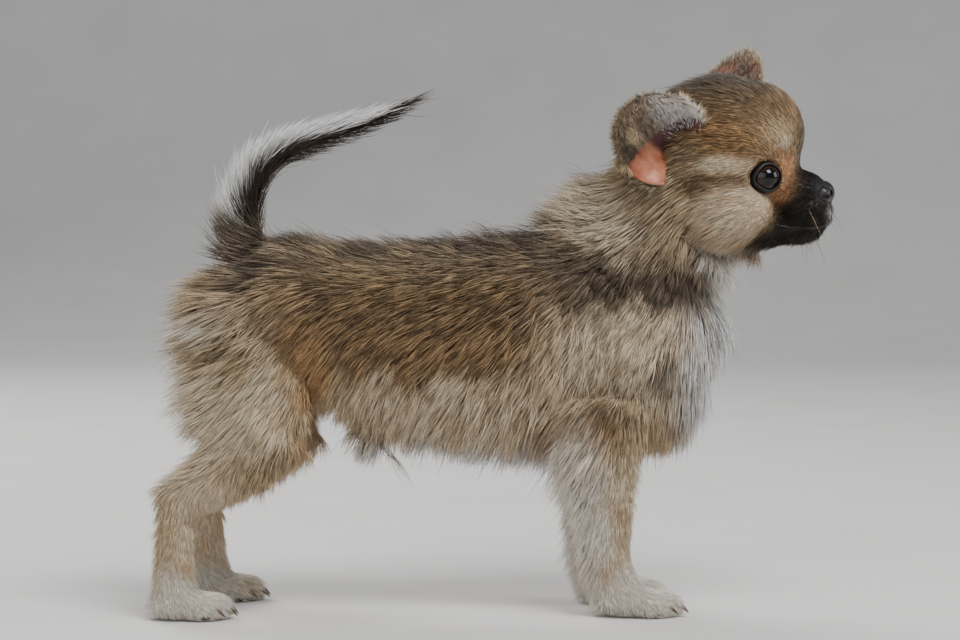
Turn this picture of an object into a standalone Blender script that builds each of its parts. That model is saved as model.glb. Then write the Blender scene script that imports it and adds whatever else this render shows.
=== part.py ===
"""A long-coated chihuahua puppy, standing, as a still life-size museum model.

The puppy faces +X, its left side is +Y and the floor is z = 0. The body is one mesh, lofted
and massed from named sizes, remeshed, and then parted into its members by thin cuts.
"""

import math
import random

import bmesh
import bpy
from mathutils import Matrix, Vector
from mathutils.bvhtree import BVHTree

MM = 0.001

# Whole animal, millimetres
GAP = 0.3
VOXEL = 1.8
BODY_FACES = 2300
HEAD_FACES = 4200
# Of the long coat's depth, the share that is solid under the locks
CORE_SHARE = 0.45
TAIL_CORE_SHARE = 0.5

# The trunk, station by station from rump to breast: x, top, bottom, half width
TRUNK = (
    (-113, 134, 119, 6),
    (-105, 142, 101, 16),
    (-92, 145, 88, 22.5),
    (-78, 146, 84, 25),
    (-64, 144, 82.5, 25),
    (-48, 143.5, 77, 25.5),
    (-28, 144, 72, 27),
    (-8, 146, 69, 28),
    (12, 149, 67, 28),
    (32, 151, 65, 28),
    (52, 148, 66, 26.5),
    (67, 144, 69, 24),
    (80, 138, 76, 19),
    (90, 126, 88, 11),
    (93, 115, 98, 5),
)
TRUNK_COAT = 7.0

# The neck, from between the shoulders to the skull: x, y, z, half depth, half width
NECK = (
    (40, 0, 124, 33, 27),
    (55, 0, 140, 33, 25),
    (70, -1, 154, 30, 23.5),
    (78, -3, 170, 23, 22),
    (86, -4, 183, 18, 18),
)
NECK_COAT = 7.0
# The dense bib of coat in front of the throat: its middle and radii
BIB_PLACE, BIB_RADII = (81, -1, 127), (16.5, 19, 23)

# A hind leg, from hip to paw: x, distance from the middle plane, z, half depth, half width
THIGH = (
    (-100, 12, 124, 17, 12),
    (-97, 16, 102, 22.5, 12.5),
    (-93, 18.5, 82, 22.5, 12),
    (-89, 20, 66, 16, 11),
)
SHANK = (
    (-86, 21, 76, 19, 12),
    (-99, 22, 62, 14.5, 10.5),
    (-112, 23.5, 53, 10.5, 8.5),
    (-123, 24.5, 47, 8, 7),
)
HIND_PASTERN = (
    (-123.5, 24.5, 50, 7.5, 7),
    (-124, 25, 30, 7.5, 7),
    (-124.5, 26, 14, 8.5, 8),
    (-123, 26, 5, 10, 9),
)
HIND_PAW_X, HIND_PAW_Y = -119.5, 26.0
HIND_COAT = 3.0
# How far the left hind leg stands ahead of the right one, at hock and paw
HIND_STRIDE_HOCK, HIND_STRIDE_PAW = 7.0, 9.0

# A foreleg, from elbow to paw: x, distance from the middle plane, z, half depth, half width
FORELEG = (
    (44, 18, 84, 19, 11),
    (44, 18, 66, 15.5, 11),
    (46, 18, 46, 11.5, 9),
    (45.5, 18, 31, 9.8, 8),
    (47, 18, 20, 9.2, 8),
    (51, 18, 8, 10.5, 9),
)
FORE_PAW_X, FORE_PAW_Y = 58.0, 18.0
FORE_COAT = 2.0
FORE_STRIDE_PAW = -5.0

# The tail, held up and forwards: x, y, z, half depth, half width
TAIL = (
    (-97, 0, 143, 8, 8),
    (-98, 0, 158, 5.5, 5.5),
    (-95, 0, 170, 4.5, 4.5),
    (-87, 0, 180.5, 4, 4),
    (-74, 0, 187.5, 3.4, 3.4),
    (-60, 0, 192, 2.8, 2.8),
    (-46, 0, 197, 2.2, 2.2),
    (-33, 0, 203, 1.2, 1.2),
)
TAIL_COAT = 9.0

# The head in its own frame: forwards, left, up from the middle of the skull
SKULL = (92.8, -4.0, 183.6)
HEAD_YAW = -15.0
HEAD_COAT = 2.4
MUZZLE_COAT = 1.0
# place, radii, coat; a place off the middle plane is made on both sides
HEAD_MASSES = (
    ((0, 0, 0), (30.5, 26.5, 29.5), HEAD_COAT),
    ((11, 0, 7), (21, 21.5, 20), HEAD_COAT),
    ((20, 9, 3), (9.5, 9, 8), HEAD_COAT),
    ((8, 15, -16), (17, 12.5, 13.5), HEAD_COAT),
    ((2, 11, -25), (18, 13, 12.5), HEAD_COAT),
    ((12, 0, -29), (19, 13, 9), HEAD_COAT),
    ((31, 0, -17), (13.5, 11, 9.8), MUZZLE_COAT),
    ((35, 5.5, -23.5), (8.5, 6.3, 6.8), MUZZLE_COAT),
    ((28, 0, -31), (11.5, 8.6, 6.2), MUZZLE_COAT),
)
EYE_PLACE = (21.2, 15.0, -9.3)
EYE_RADIUS = 7.3
EYE_GAZE = (0.60, 0.80, 0.05)
LID_THICKNESS = 1.6
EYE_OPENING = (6.3, 5.7)
NOSE_PLACE = (42.6, 0, -15.8)
NOSE_RADII = (4.2, 5.6, 4.9)
NOSTRIL_PLACE = (46.4, 3.1, -15.6)
NOSTRIL_RADII = (2.2, 1.1, 1.3)
# The mouth's line on the left, from under the nose to its corner, in the head's own frame
MOUTH = ((45.5, 0, -24.5), (43.5, 5.5, -26.5), (37, 10.5, -28.2), (29, 13.5, -27.5), (24, 14.5, -25.0))
MOUTH_WIDTH, PHILTRUM_WIDTH = 0.75, 0.55

# The ears in the head's own frame: root, way up, way the cup opens, and where the tip folds over
EAR_HEIGHT, EAR_WIDTH, EAR_CUP, EAR_THICKNESS = 43.0, 17.0, 10.0, 2.4
EAR_WIDEST = 0.35
EARS = {
    "ear_right": ((-17, -19, -3), (-0.58, -0.42, 0.72), (0.30, -0.90, -0.25), 0.60),
    "ear_left": ((-10, 20, 7), (0.18, 0.32, 0.92), (0.40, 0.90, -0.20), 1.0),
}
EAR_FOLD = 150.0

# How the long coat lies: place on the left side, way it lies, length, lift from the body in degrees
COMB = (
    # nape, neck and throat
    ((50, 0, 185), (-0.75, 0, -0.60), 20, 20),
    ((62, 28, 172), (-0.60, 0.10, -0.75), 20, 15),
    ((78, 28, 150), (-0.35, 0.05, -0.90), 22, 15),
    ((102, 0, 140), (0.30, 0, -1.00), 22, 42),
    # chest and between the forelegs
    ((96, 0, 124), (0.30, 0, -0.95), 25, 32),
    ((94, 0, 104), (0.30, 0, -1.00), 25, 32),
    ((78, 12, 84), (0.25, 0, -1.00), 27, 24),
    ((64, 0, 66), (0, 0, -1.00), 17, 20),
    # withers, shoulder and upper arm
    ((18, 0, 158), (-0.97, 0, -0.10), 22, 12),
    ((50, 30, 130), (-0.50, 0, -0.85), 22, 10),
    ((50, 32, 95), (-0.35, 0, -0.93), 20, 10),
    ((30, 28, 72), (-0.45, 0.05, -0.90), 20, 15),
    # back, flank and belly
    ((-30, 0, 150), (-1.00, 0, -0.05), 22, 8),
    ((-20, 30, 130), (-0.90, 0, -0.40), 24, 8),
    ((-20, 34, 105), (-0.75, 0.05, -0.65), 24, 10),
    ((-20, 28, 78), (-0.60, 0.05, -0.80), 22, 15),
    ((5, 12, 62), (-0.35, 0, -0.93), 20, 30),
    ((24, 18, 60), (-0.45, 0.05, -0.95), 22, 25),
    ((-50, 10, 72), (-0.30, 0, -0.95), 16, 25),
    # croup, thigh and hock
    ((-85, 8, 152), (-0.85, 0, -0.50), 20, 10),
    ((-88, 34, 115), (-0.50, 0, -0.87), 22, 8),
    ((-85, 32, 85), (-0.40, 0, -0.92), 20, 8),
    ((-120, 18, 118), (-0.85, 0.10, -0.60), 23, 34),
    ((-118, 24, 88), (-0.85, 0.10, -0.60), 23, 34),
    ((-120, 26, 60), (-0.80, 0, -0.60), 10, 15),
    ((-66, 24, 68), (-0.10, 0, -1.00), 9, 5),
    ((-95, 3, 100), (-0.30, 0, -1.00), 5, 5),
    ((-85, 8, 78), (-0.30, 0, -1.00), 5, 5),
    ((48, 8, 62), (-0.20, 0, -1.00), 6, 5),
    # tail, from its root round to its tip
    ((-112, 0, 150), (-0.50, 0, 0.85), 20, 25),
    ((-106, 0, 172), (-0.10, 0, 1.00), 20, 20),
    ((-88, 8, 188), (0.60, 0, 0.80), 20, 18),
    ((-70, 0, 200), (0.90, 0, 0.40), 20, 15),
    ((-45, 0, 205), (0.95, 0, 0.30), 17, 10),
    ((-70, 0, 180), (0.90, 0, 0.25), 16, 12),
    # head, forelegs and paws, where the fur is short
    ((98, 28, 160), (-0.80, 0, -0.40), 5, 5),
    ((84, 32, 172), (-0.80, 0, -0.60), 7, 5),
    ((104, 10, 144), (-0.80, 0, -0.60), 8, 8),
    ((96, 0, 214), (-1.00, 0, 0), 4, 5),
    ((112, 22, 170), (-0.90, 0, -0.20), 4, 5),
    ((80, 30, 190), (-0.90, 0, -0.20), 5, 5),
    ((118, 0, 148), (-0.90, 0, -0.20), 4, 5),
    ((58, 20, 48), (0, 0, -1.00), 4, 5),
    ((34, 20, 46), (-0.45, 0.05, -0.90), 9, 12),
    ((36, 20, 26), (-0.40, 0.05, -0.90), 6, 10),
    ((58, 18, 8), (0.80, 0, -0.50), 3, 5),
    ((-112, 26, 40), (0, 0, -1.00), 4, 5),
    ((-128, 26, 35), (-0.20, 0, -1.00), 6, 8),
    ((-118, 26, 8), (0.80, 0, -0.50), 3, 5),
)
LOCK_SEED = 11
LOCK_TRIES = 9000
LOCK_SHORTEST = 10.0
# Between roots and across a lock, as shares of its length, which counts as one between these two
LOCK_SPACING = 0.76
LOCK_WIDTH = 0.64
LOCK_BASIS, LOCK_WIDEST = 18.0, 21.0
LOCK_THICKNESS = 2.9
LOCK_SINK = 4.5
LOCK_CLEAR = 1.3
LOCK_BEND = 0.42
LOCK_VARIATION = (0.8, 1.2)
# Width and thickness of a lock as shares of its full ones, from the root up
LOCK_PROFILE = ((0.70, 0.9), (1.0, 1.0), (0.65, 0.6))

# Grooves between the toes: places across the paw, how far ahead of its middle, and radii
TOE_GROOVES = (-5.2, 0, 5.2)
GROOVE_AHEAD, GROOVE_HEIGHT = 17.0, 6.5
GROOVE_RADII = (9.0, 0.8, 5.5)

# Where the members part, as outlines in x and z
HEAD_CUT = ((60, 171), (118, 134.5), (180, 134.5), (180, 260), (60, 260), (30, 192))
NECK_CUT = ((16, 161), (106, 124.5), (150, 124.5), (150, 230), (16, 230))
TAIL_CUT = ((-122, 142), (-82, 160), (-10, 190), (-10, 240), (-140, 240), (-140, 142))
PLUME_CUT = ((-108, 187), (-78, 166), (-10, 176), (-10, 240), (-108, 240))
THIGH_CUT = ((-150, 60), (-150, 122), (-112, 131), (-86, 124), (-68, 100), (-61, 74), (-61, 64))
SHANK_CUT = ((-150, 14), (-150, 60), (-61, 64), (-61, 14))
HIND_PAW_CUT = ((-150, -10), (-150, 14), (-61, 14), (-61, -10))
FORELEG_CUT = ((20, 18), (20, 63), (74, 63), (74, 18))
FORE_PAW_CUT = ((20, -10), (20, 18), (90, 18), (90, -10))
LEG_INNER_Y = 5.0
TORSO_CUT = ((-8, 20), (-8, 200), (140, 200), (140, 20))


def clear_scene():
    for obj in list(bpy.data.objects):
        bpy.data.objects.remove(obj, do_unlink=True)


def material(name, colour, roughness):
    made = bpy.data.materials.new(name)
    made.use_nodes = True
    shader = made.node_tree.nodes["Principled BSDF"]
    shader.inputs["Base Color"].default_value = (*colour, 1.0)
    shader.inputs["Roughness"].default_value = roughness
    shader.inputs["Metallic"].default_value = 0.0
    return made


def object_of(name, mesh_or_bm):
    """An object in metres from a bmesh in millimetres."""
    mesh = bpy.data.meshes.new(name)
    bmesh.ops.transform(mesh_or_bm, matrix=Matrix.Scale(MM, 4), verts=mesh_or_bm.verts)
    mesh_or_bm.to_mesh(mesh)
    mesh_or_bm.free()
    obj = bpy.data.objects.new(name, mesh)
    bpy.context.scene.collection.objects.link(obj)
    return obj


def smooth_path(stations, steps):
    """Catmull-Rom values between stations, so that rings flow from one to the next."""
    padded = [stations[0], *stations, stations[-1]]
    found = []
    for i in range(len(stations) - 1):
        a, b, c, d = (Vector(p) for p in padded[i : i + 4])
        for s in range(steps):
            t = s / steps
            found.append(
                0.5
                * (
                    2 * b
                    + (c - a) * t
                    + (2 * a - 5 * b + 4 * c - d) * t * t
                    + (3 * b - a - 3 * c + d) * t**3
                )
            )
    found.append(Vector(stations[-1]))
    return found


def loft(bm, stations, grow, sides=20, steps=4):
    """A closed tube through stations of x, y, z, half depth and half width, grown outwards."""
    rings = smooth_path(stations, steps)
    loops = []
    for i, ring in enumerate(rings):
        ahead = rings[min(i + 1, len(rings) - 1)]
        behind = rings[max(i - 1, 0)]
        along = Vector((ahead[0] - behind[0], 0, ahead[2] - behind[2])).normalized()
        across = Vector((0, 1, 0))
        up = along.cross(across)
        centre = Vector(ring[:3])
        turn = [2 * math.pi * k / sides for k in range(sides)]
        loops.append(
            [
                bm.verts.new(
                    centre
                    + up * (ring[3] + grow) * math.sin(a)
                    + across * (ring[4] + grow) * math.cos(a)
                )
                for a in turn
            ]
        )
    for low, high in zip(loops, loops[1:]):
        for k in range(sides):
            n = (k + 1) % sides
            bm.faces.new((low[k], low[n], high[n], high[k]))
    bm.faces.new(reversed(loops[0]))
    bm.faces.new(loops[-1])


def ellipsoid(bm, centre, radii, turn=Matrix.Identity(4), segments=24, rings=14):
    place = Matrix.Translation(centre) @ turn @ Matrix.Diagonal((*radii, 1.0))
    bmesh.ops.create_uvsphere(bm, u_segments=segments, v_segments=rings, radius=1.0, matrix=place)


def head_frame():
    return Matrix.Translation(SKULL) @ Matrix.Rotation(math.radians(HEAD_YAW), 4, "Z")


def both_sides(place):
    """The place, and its mirror image if it is off the middle plane."""
    x, y, z = place
    return [Vector((x, y, z))] if y == 0 else [Vector((x, -y, z)), Vector((x, y, z))]


def trunk_stations():
    return [(x, 0, (top + bottom) / 2, (top - bottom) / 2, w) for x, top, bottom, w in TRUNK]


def leg_stations(stations, side, stride_top, stride_low):
    """The leg's stations on one side (-1 right, 1 left), stepped forwards more the lower they are."""
    high, low = stations[0][2], stations[-1][2]
    moved = []
    for x, y, z, depth, width in stations:
        share = (high - z) / (high - low)
        moved.append((x + stride_top + (stride_low - stride_top) * share, side * y, z, depth, width))
    return moved


def paw(bm, x, y, coat):
    """Four toes round a low, wide foot."""
    ellipsoid(bm, (x - 3, y, 5.5), (12 + coat, 9.5 + coat, 7 + coat))
    for k, (ahead, aside) in enumerate(((6, -7), (10, -2.6), (10, 2.6), (6, 7))):
        ellipsoid(bm, (x + ahead, y + aside, 4.6), (7.5 + coat, 3.4 + coat, 4.8 + coat))


def head(bm):
    frame = head_frame()
    for place, radii, coat in HEAD_MASSES:
        for spot in both_sides(place):
            grown = [r + coat for r in radii]
            ellipsoid(bm, frame @ spot, grown, Matrix.Rotation(math.radians(HEAD_YAW), 4, "Z"))


def whole_body():
    """Trunk, neck, head, legs and tail as overlapping closed forms."""
    bm = bmesh.new()
    loft(bm, trunk_stations(), TRUNK_COAT * CORE_SHARE, sides=28)
    loft(bm, NECK, NECK_COAT * CORE_SHARE, sides=24)
    loft(bm, TAIL, TAIL_COAT * TAIL_CORE_SHARE, sides=14)
    ellipsoid(bm, BIB_PLACE, BIB_RADII)
    head(bm)
    for side in (-1, 1):
        left = side > 0
        hock = HIND_STRIDE_HOCK if left else 0
        hind = HIND_STRIDE_PAW if left else 0
        fore = FORE_STRIDE_PAW if left else 0
        loft(bm, leg_stations(THIGH, side, 0, hock * 0.4), TRUNK_COAT * CORE_SHARE)
        loft(bm, leg_stations(SHANK, side, hock * 0.4, hock), HIND_COAT)
        loft(bm, leg_stations(HIND_PASTERN, side, hock, hind), HIND_COAT * 0.7, sides=16)
        paw(bm, HIND_PAW_X + hind, side * HIND_PAW_Y, 1.5)
        loft(bm, leg_stations(FORELEG, side, 0, fore), FORE_COAT, sides=16)
        paw(bm, FORE_PAW_X + fore, side * FORE_PAW_Y, 1.5)
    return object_of("body", bm)


def add_modifier(obj, kind, **settings):
    modifier = obj.modifiers.new(kind.title(), kind)
    for key, value in settings.items():
        setattr(modifier, key, value)
    return modifier


def apply_modifiers(obj):
    graph = bpy.context.evaluated_depsgraph_get()
    graph.update()
    mesh = bpy.data.meshes.new_from_object(obj.evaluated_get(graph))
    obj.modifiers.clear()
    obj.data = mesh


def fuse(obj):
    """One smooth skin over overlapping forms."""
    add_modifier(obj, "REMESH", mode="VOXEL", voxel_size=VOXEL * MM, adaptivity=0.0)
    add_modifier(obj, "SMOOTH", factor=0.5, iterations=6)
    apply_modifiers(obj)


def coarser_copy(obj, name, faces):
    """A copy of the object with about this many triangles."""
    made = obj.copy()
    made.data = obj.data.copy()
    made.name = name
    bpy.context.scene.collection.objects.link(made)
    count = sum(len(p.vertices) - 2 for p in obj.data.polygons)
    add_modifier(made, "DECIMATE", ratio=faces / count)
    apply_modifiers(made)
    return made


def surface_tree(obj):
    """A search tree of the object's surface, in millimetres."""
    points = [v.co / MM for v in obj.data.vertices]
    return BVHTree.FromPolygons(points, [tuple(p.vertices) for p in obj.data.polygons])


def comb_at(place):
    """The lie, length and lift of the coat at a place, blended from the guides near it."""
    lie, length, lift, total = Vector(), 0.0, 0.0, 0.0
    for spot, way, guide_length, guide_lift in COMB:
        for side in (1, -1):
            away = (Vector((spot[0], side * spot[1], spot[2])) - place).length
            weight = 1 / (away + 3.0) ** 4
            lie += Vector((way[0], side * way[1], way[2])).normalized() * weight
            length += guide_length * weight
            lift += guide_lift * weight
            total += weight
    return lie.normalized(), length / total, lift / total


def lock_roots(obj, tree):
    """Places on the coated surface, evenly apart, with the surface's normal at each."""
    draw = random.Random(LOCK_SEED)
    mesh = obj.data
    mesh.calc_loop_triangles()
    triangles = list(mesh.loop_triangles)
    areas = [t.area for t in triangles]
    roots = []
    for triangle in draw.choices(triangles, areas, k=LOCK_TRIES):
        a, b, c = (mesh.vertices[v].co / MM for v in triangle.vertices)
        s, t = sorted((draw.random(), draw.random()))
        place = a * s + b * (t - s) + c * (1 - t)
        lie, length, lift = comb_at(place)
        if length < LOCK_SHORTEST:
            continue
        apart = LOCK_SPACING * min(max(length, LOCK_BASIS), LOCK_WIDEST)
        if all((place - other).length > apart for other, _ in roots):
            roots.append((place, triangle.normal.copy()))
    return roots


def lock(root, normal, tree, draw):
    """One flat, tapered lock that bends along the coat's lie, its root sunk in the body."""
    lie, length, lift = comb_at(root)
    length *= draw.uniform(*LOCK_VARIATION)
    width = LOCK_WIDTH * min(max(length, LOCK_BASIS), LOCK_WIDEST) * draw.uniform(*LOCK_VARIATION)
    lift = math.radians(lift)
    tangent = (lie - normal * lie.dot(normal)).normalized()
    way = tangent * math.cos(lift) + normal * math.sin(lift)
    place = root - normal * LOCK_SINK - tangent * LOCK_SINK
    rings = []
    for k, (share_wide, share_thick) in enumerate(LOCK_PROFILE):
        across = way.cross(normal).normalized()
        up = across.cross(way)
        half, thick = width / 2 * share_wide, LOCK_THICKNESS * share_thick
        rings.append([place + across * half, place + up * thick, place - across * half])
        place = place + way * (length + LOCK_SINK) / len(LOCK_PROFILE)
        found, face_normal, _, _ = tree.find_nearest(place)
        height = (place - found).dot(face_normal)
        least = LOCK_CLEAR * (k + 1) / len(LOCK_PROFILE)
        if height < least:
            place += face_normal * (least - height)
        normal = normal.lerp(face_normal, 0.5).normalized()
        way = way.lerp(comb_at(place)[0], LOCK_BEND).normalized()
    bm = bmesh.new()
    loops = [[bm.verts.new(p) for p in ring] for ring in rings]
    tip = bm.verts.new(place)
    for low, high in zip(loops, loops[1:]):
        for k in range(3):
            n = (k + 1) % 3
            bm.faces.new((low[k], low[n], high[n]))
            bm.faces.new((low[k], high[n], high[k]))
    for k in range(3):
        bm.faces.new((loops[-1][k], loops[-1][(k + 1) % 3], tip))
    bm.faces.new(reversed(loops[0]))
    bmesh.ops.recalc_face_normals(bm, faces=bm.faces)
    return object_of("lock", bm)


def grow_locks(body, others):
    """Fuses one set of locks with the body and with each of its other copies."""
    tree = surface_tree(body)
    draw = random.Random(LOCK_SEED)
    locks = bpy.data.collections.new("locks")
    bpy.context.scene.collection.children.link(locks)
    for root, normal in lock_roots(body, tree):
        made = lock(root, normal, tree, draw)
        bpy.context.scene.collection.objects.unlink(made)
        locks.objects.link(made)
    for obj in (body, *others):
        add_modifier(
            obj, "BOOLEAN", operation="UNION", operand_type="COLLECTION", collection=locks, solver="MANIFOLD"
        )
        apply_modifiers(obj)
    for obj in list(locks.objects):
        drop(obj)
    bpy.data.collections.remove(locks)


def offset_outline(outline, grow):
    """The outline, counter-clockwise or clockwise, with each edge moved outwards by grow."""
    points = [Vector(p) for p in outline]
    area = sum(a.x * b.y - b.x * a.y for a, b in zip(points, points[1:] + points[:1]))
    sign = 1 if area > 0 else -1
    moved = []
    for i, p in enumerate(points):
        a, b = points[i - 1], points[(i + 1) % len(points)]
        one = (p - a).normalized()
        two = (b - p).normalized()
        n1 = Vector((one.y, -one.x)) * sign
        n2 = Vector((two.y, -two.x)) * sign
        moved.append(p + (n1 + n2) / (1 + n1.dot(n2)) * grow)
    return moved


def prism(name, outline, y_range, grow):
    """A closed prism on an outline in x and z, from y_range[0] to y_range[1]."""
    bm = bmesh.new()
    low, high = y_range[0] - grow, y_range[1] + grow
    points = offset_outline(outline, grow)
    floor = bm.faces.new([bm.verts.new((p.x, low, p.y)) for p in points])
    made = bmesh.ops.extrude_face_region(bm, geom=[floor])
    bmesh.ops.translate(
        bm,
        vec=(0, high - low, 0),
        verts=[v for v in made["geom"] if isinstance(v, bmesh.types.BMVert)],
    )
    bmesh.ops.recalc_face_normals(bm, faces=bm.faces)
    return object_of(name, bm)


def boolean(obj, other, operation):
    add_modifier(obj, "BOOLEAN", operation=operation, object=other, solver="MANIFOLD")
    apply_modifiers(obj)


def drop(obj):
    bpy.data.objects.remove(obj, do_unlink=True)


def keep_largest(obj):
    """Keeps the mesh's largest closed surface."""
    bm = bmesh.new()
    bm.from_mesh(obj.data)
    unseen, shells = set(bm.verts), []
    while unseen:
        stack, shell = [unseen.pop()], set()
        while stack:
            vert = stack.pop()
            shell.add(vert)
            for edge in vert.link_edges:
                other = edge.other_vert(vert)
                if other in unseen:
                    unseen.remove(other)
                    stack.append(other)
        shells.append(shell)
    shells.sort(key=len, reverse=True)
    for shell in shells[1:]:
        bmesh.ops.delete(bm, geom=list(shell), context="VERTS")
    bm.to_mesh(obj.data)
    bm.free()


def part_off(body, name, outline, y_range=(-90, 90)):
    """Cuts the named member out of the body, leaving a thin gap between the two."""
    member = body.copy()
    member.data = body.data.copy()
    member.name = name
    bpy.context.scene.collection.objects.link(member)
    inner = prism("inner", outline, y_range, -GAP / 2)
    outer = prism("outer", outline, y_range, GAP / 2)
    boolean(member, inner, "INTERSECT")
    boolean(body, outer, "DIFFERENCE")
    drop(inner)
    drop(outer)
    keep_largest(member)
    return member


def stand_on_floor(obj):
    """Cuts the soles flat at z = 0."""
    bm = bmesh.new()
    bm.from_mesh(obj.data)
    geom = list(bm.verts) + list(bm.edges) + list(bm.faces)
    cut = bmesh.ops.bisect_plane(
        bm, geom=geom, plane_co=(0, 0, 0), plane_no=(0, 0, 1), clear_inner=True
    )
    edges = [g for g in cut["geom_cut"] if isinstance(g, bmesh.types.BMEdge)]
    bmesh.ops.holes_fill(bm, edges=edges)
    bm.to_mesh(obj.data)
    bm.free()


def ball(name, centre, radii, turn=Matrix.Identity(4), segments=20, rings=12):
    bm = bmesh.new()
    ellipsoid(bm, centre, radii, turn, segments, rings)
    return object_of(name, bm)


def carve_eyes(skull, nodes):
    """Two lidded sockets, and an eyeball in each."""
    frame = head_frame()
    yaw = Matrix.Rotation(math.radians(HEAD_YAW), 4, "Z")
    for name, side in (("eye_right", -1), ("eye_left", 1)):
        centre = frame @ Vector((EYE_PLACE[0], side * EYE_PLACE[1], EYE_PLACE[2]))
        gaze = yaw @ Vector((EYE_GAZE[0], side * EYE_GAZE[1], EYE_GAZE[2]))
        lids = ball("lids", centre, [EYE_RADIUS + GAP + LID_THICKNESS] * 3)
        boolean(skull, lids, "UNION")
        socket = ball("socket", centre, [EYE_RADIUS + GAP] * 3, segments=20, rings=10)
        boolean(skull, socket, "DIFFERENCE")
        aim = gaze.to_track_quat("Z", "Y").to_matrix().to_4x4()
        opening = ball("opening", centre + gaze * EYE_RADIUS, (*EYE_OPENING, 5.0), aim)
        boolean(skull, opening, "DIFFERENCE")
        nodes[name] = ball(name, centre, [EYE_RADIUS] * 3, segments=20, rings=10)
        for tool in (lids, socket, opening):
            drop(tool)


def carve_nose(skull, nodes):
    """The leathery nose pad with its two nostrils, let into the muzzle."""
    frame = head_frame()
    yaw = Matrix.Rotation(math.radians(HEAD_YAW), 4, "Z")
    bed = ball("bed", frame @ Vector(NOSE_PLACE), [r + GAP for r in NOSE_RADII], yaw, 16, 9)
    boolean(skull, bed, "DIFFERENCE")
    pad = ball("nose", frame @ Vector(NOSE_PLACE), NOSE_RADII, yaw, 16, 9)
    for side in (-1, 1):
        x, y, z = NOSTRIL_PLACE
        hole = ball("hole", frame @ Vector((x, side * y, z)), NOSTRIL_RADII, yaw, 8, 5)
        boolean(pad, hole, "DIFFERENCE")
        drop(hole)
    drop(bed)
    nodes["nose"] = pad


def ring_tube(points, radius, sides=6):
    """A closed thin tube along the points."""
    bm = bmesh.new()
    loops = []
    for i, here in enumerate(points):
        along = (points[min(i + 1, len(points) - 1)] - points[max(i - 1, 0)]).normalized()
        across = along.orthogonal().normalized()
        up = along.cross(across)
        turn = [2 * math.pi * k / sides for k in range(sides)]
        loops.append(
            [bm.verts.new(here + (across * math.cos(a) + up * math.sin(a)) * radius) for a in turn]
        )
    for low, high in zip(loops, loops[1:]):
        for k in range(sides):
            n = (k + 1) % sides
            bm.faces.new((low[k], low[n], high[n], high[k]))
    bm.faces.new(reversed(loops[0]))
    bm.faces.new(loops[-1])
    return object_of("tube", bm)


def carve_mouth(skull):
    """The line between the lips, from corner to corner, and the groove up to the nose."""
    frame = head_frame()
    left = [Vector(p) for p in MOUTH]
    right = [Vector((p.x, -p.y, p.z)) for p in reversed(left[1:])]
    inverse = skull.matrix_world.inverted()

    def on_skin(place):
        hit, found, normal, _ = skull.closest_point_on_mesh(inverse @ (frame @ place * MM))
        return found / MM

    line = [Vector(p[:3]) for p in smooth_path([tuple(p) for p in right + left], 3)]
    lips = ring_tube([on_skin(p) for p in line], MOUTH_WIDTH)
    front = Vector(MOUTH[0])
    top = Vector((front.x, 0, NOSE_PLACE[2] - NOSE_RADII[2] * 0.6))
    steps = [front.lerp(top, k / 4) for k in range(5)]
    philtrum = ring_tube([on_skin(p) for p in steps], PHILTRUM_WIDTH)
    for groove in (lips, philtrum):
        boolean(skull, groove, "DIFFERENCE")
        drop(groove)


def ear(name, root, way_up, way_out, fold):
    """A cupped shell on its root, with its tip folded over past the given share of its height."""
    turn = Matrix.Rotation(math.radians(HEAD_YAW), 3, "Z")
    up = (turn @ Vector(way_up)).normalized()
    out = turn @ Vector(way_out)
    out = (out - up * out.dot(up)).normalized()
    across = up.cross(out)
    rows, columns = 12, 7
    centre = head_frame() @ Vector(root)
    spine, widths, cups, normals = [], [], [], []
    for r in range(rows):
        v = r / (rows - 1)
        past = max(0.0, (v - fold) / (1 - fold)) if fold < 1 else 0.0
        bend = math.radians(EAR_FOLD) * (1 - (1 - min(1.0, past * 2.2)) ** 2)
        along = up * math.cos(bend) + out * math.sin(bend)
        facing = out * math.cos(bend) - up * math.sin(bend)
        if r:
            centre = centre + along * EAR_HEIGHT / (rows - 1)
        spine.append(centre.copy())
        normals.append(facing)
        off_widest = (v - EAR_WIDEST) / (1.01 - EAR_WIDEST)
        widths.append(EAR_WIDTH * math.sqrt(1 - off_widest**2))
        cups.append(EAR_CUP * (1 - 0.75 * v))
    bm = bmesh.new()
    layers = []
    for lift in (0.0, EAR_THICKNESS):
        grid = []
        for r in range(rows):
            row = []
            for c in range(columns):
                u = 2 * c / (columns - 1) - 1
                edge = abs(u) ** 2.2
                place = spine[r] + across * widths[r] * u + normals[r] * (cups[r] * edge)
                inward = normals[r] * 1.0 - across * (0.7 * u * cups[r] / EAR_CUP)
                row.append(bm.verts.new(place + inward.normalized() * lift * (1 - 0.35 * edge)))
            grid.append(row)
        layers.append(grid)
    back, front = layers
    for r in range(rows - 1):
        for c in range(columns - 1):
            bm.faces.new((back[r][c], back[r + 1][c], back[r + 1][c + 1], back[r][c + 1]))
            bm.faces.new((front[r][c], front[r][c + 1], front[r + 1][c + 1], front[r + 1][c]))
    rim = [(r, 0) for r in range(rows)] + [(rows - 1, c) for c in range(1, columns)]
    rim += [(r, columns - 1) for r in range(rows - 2, -1, -1)] + [(0, c) for c in range(columns - 2, 0, -1)]
    for (r, c), (r2, c2) in zip(rim, rim[1:] + rim[:1]):
        bm.faces.new((back[r][c], front[r][c], front[r2][c2], back[r2][c2]))
    bmesh.ops.recalc_face_normals(bm, faces=bm.faces)
    bmesh.ops.triangulate(bm, faces=bm.faces)
    return object_of(name, bm)


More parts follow.
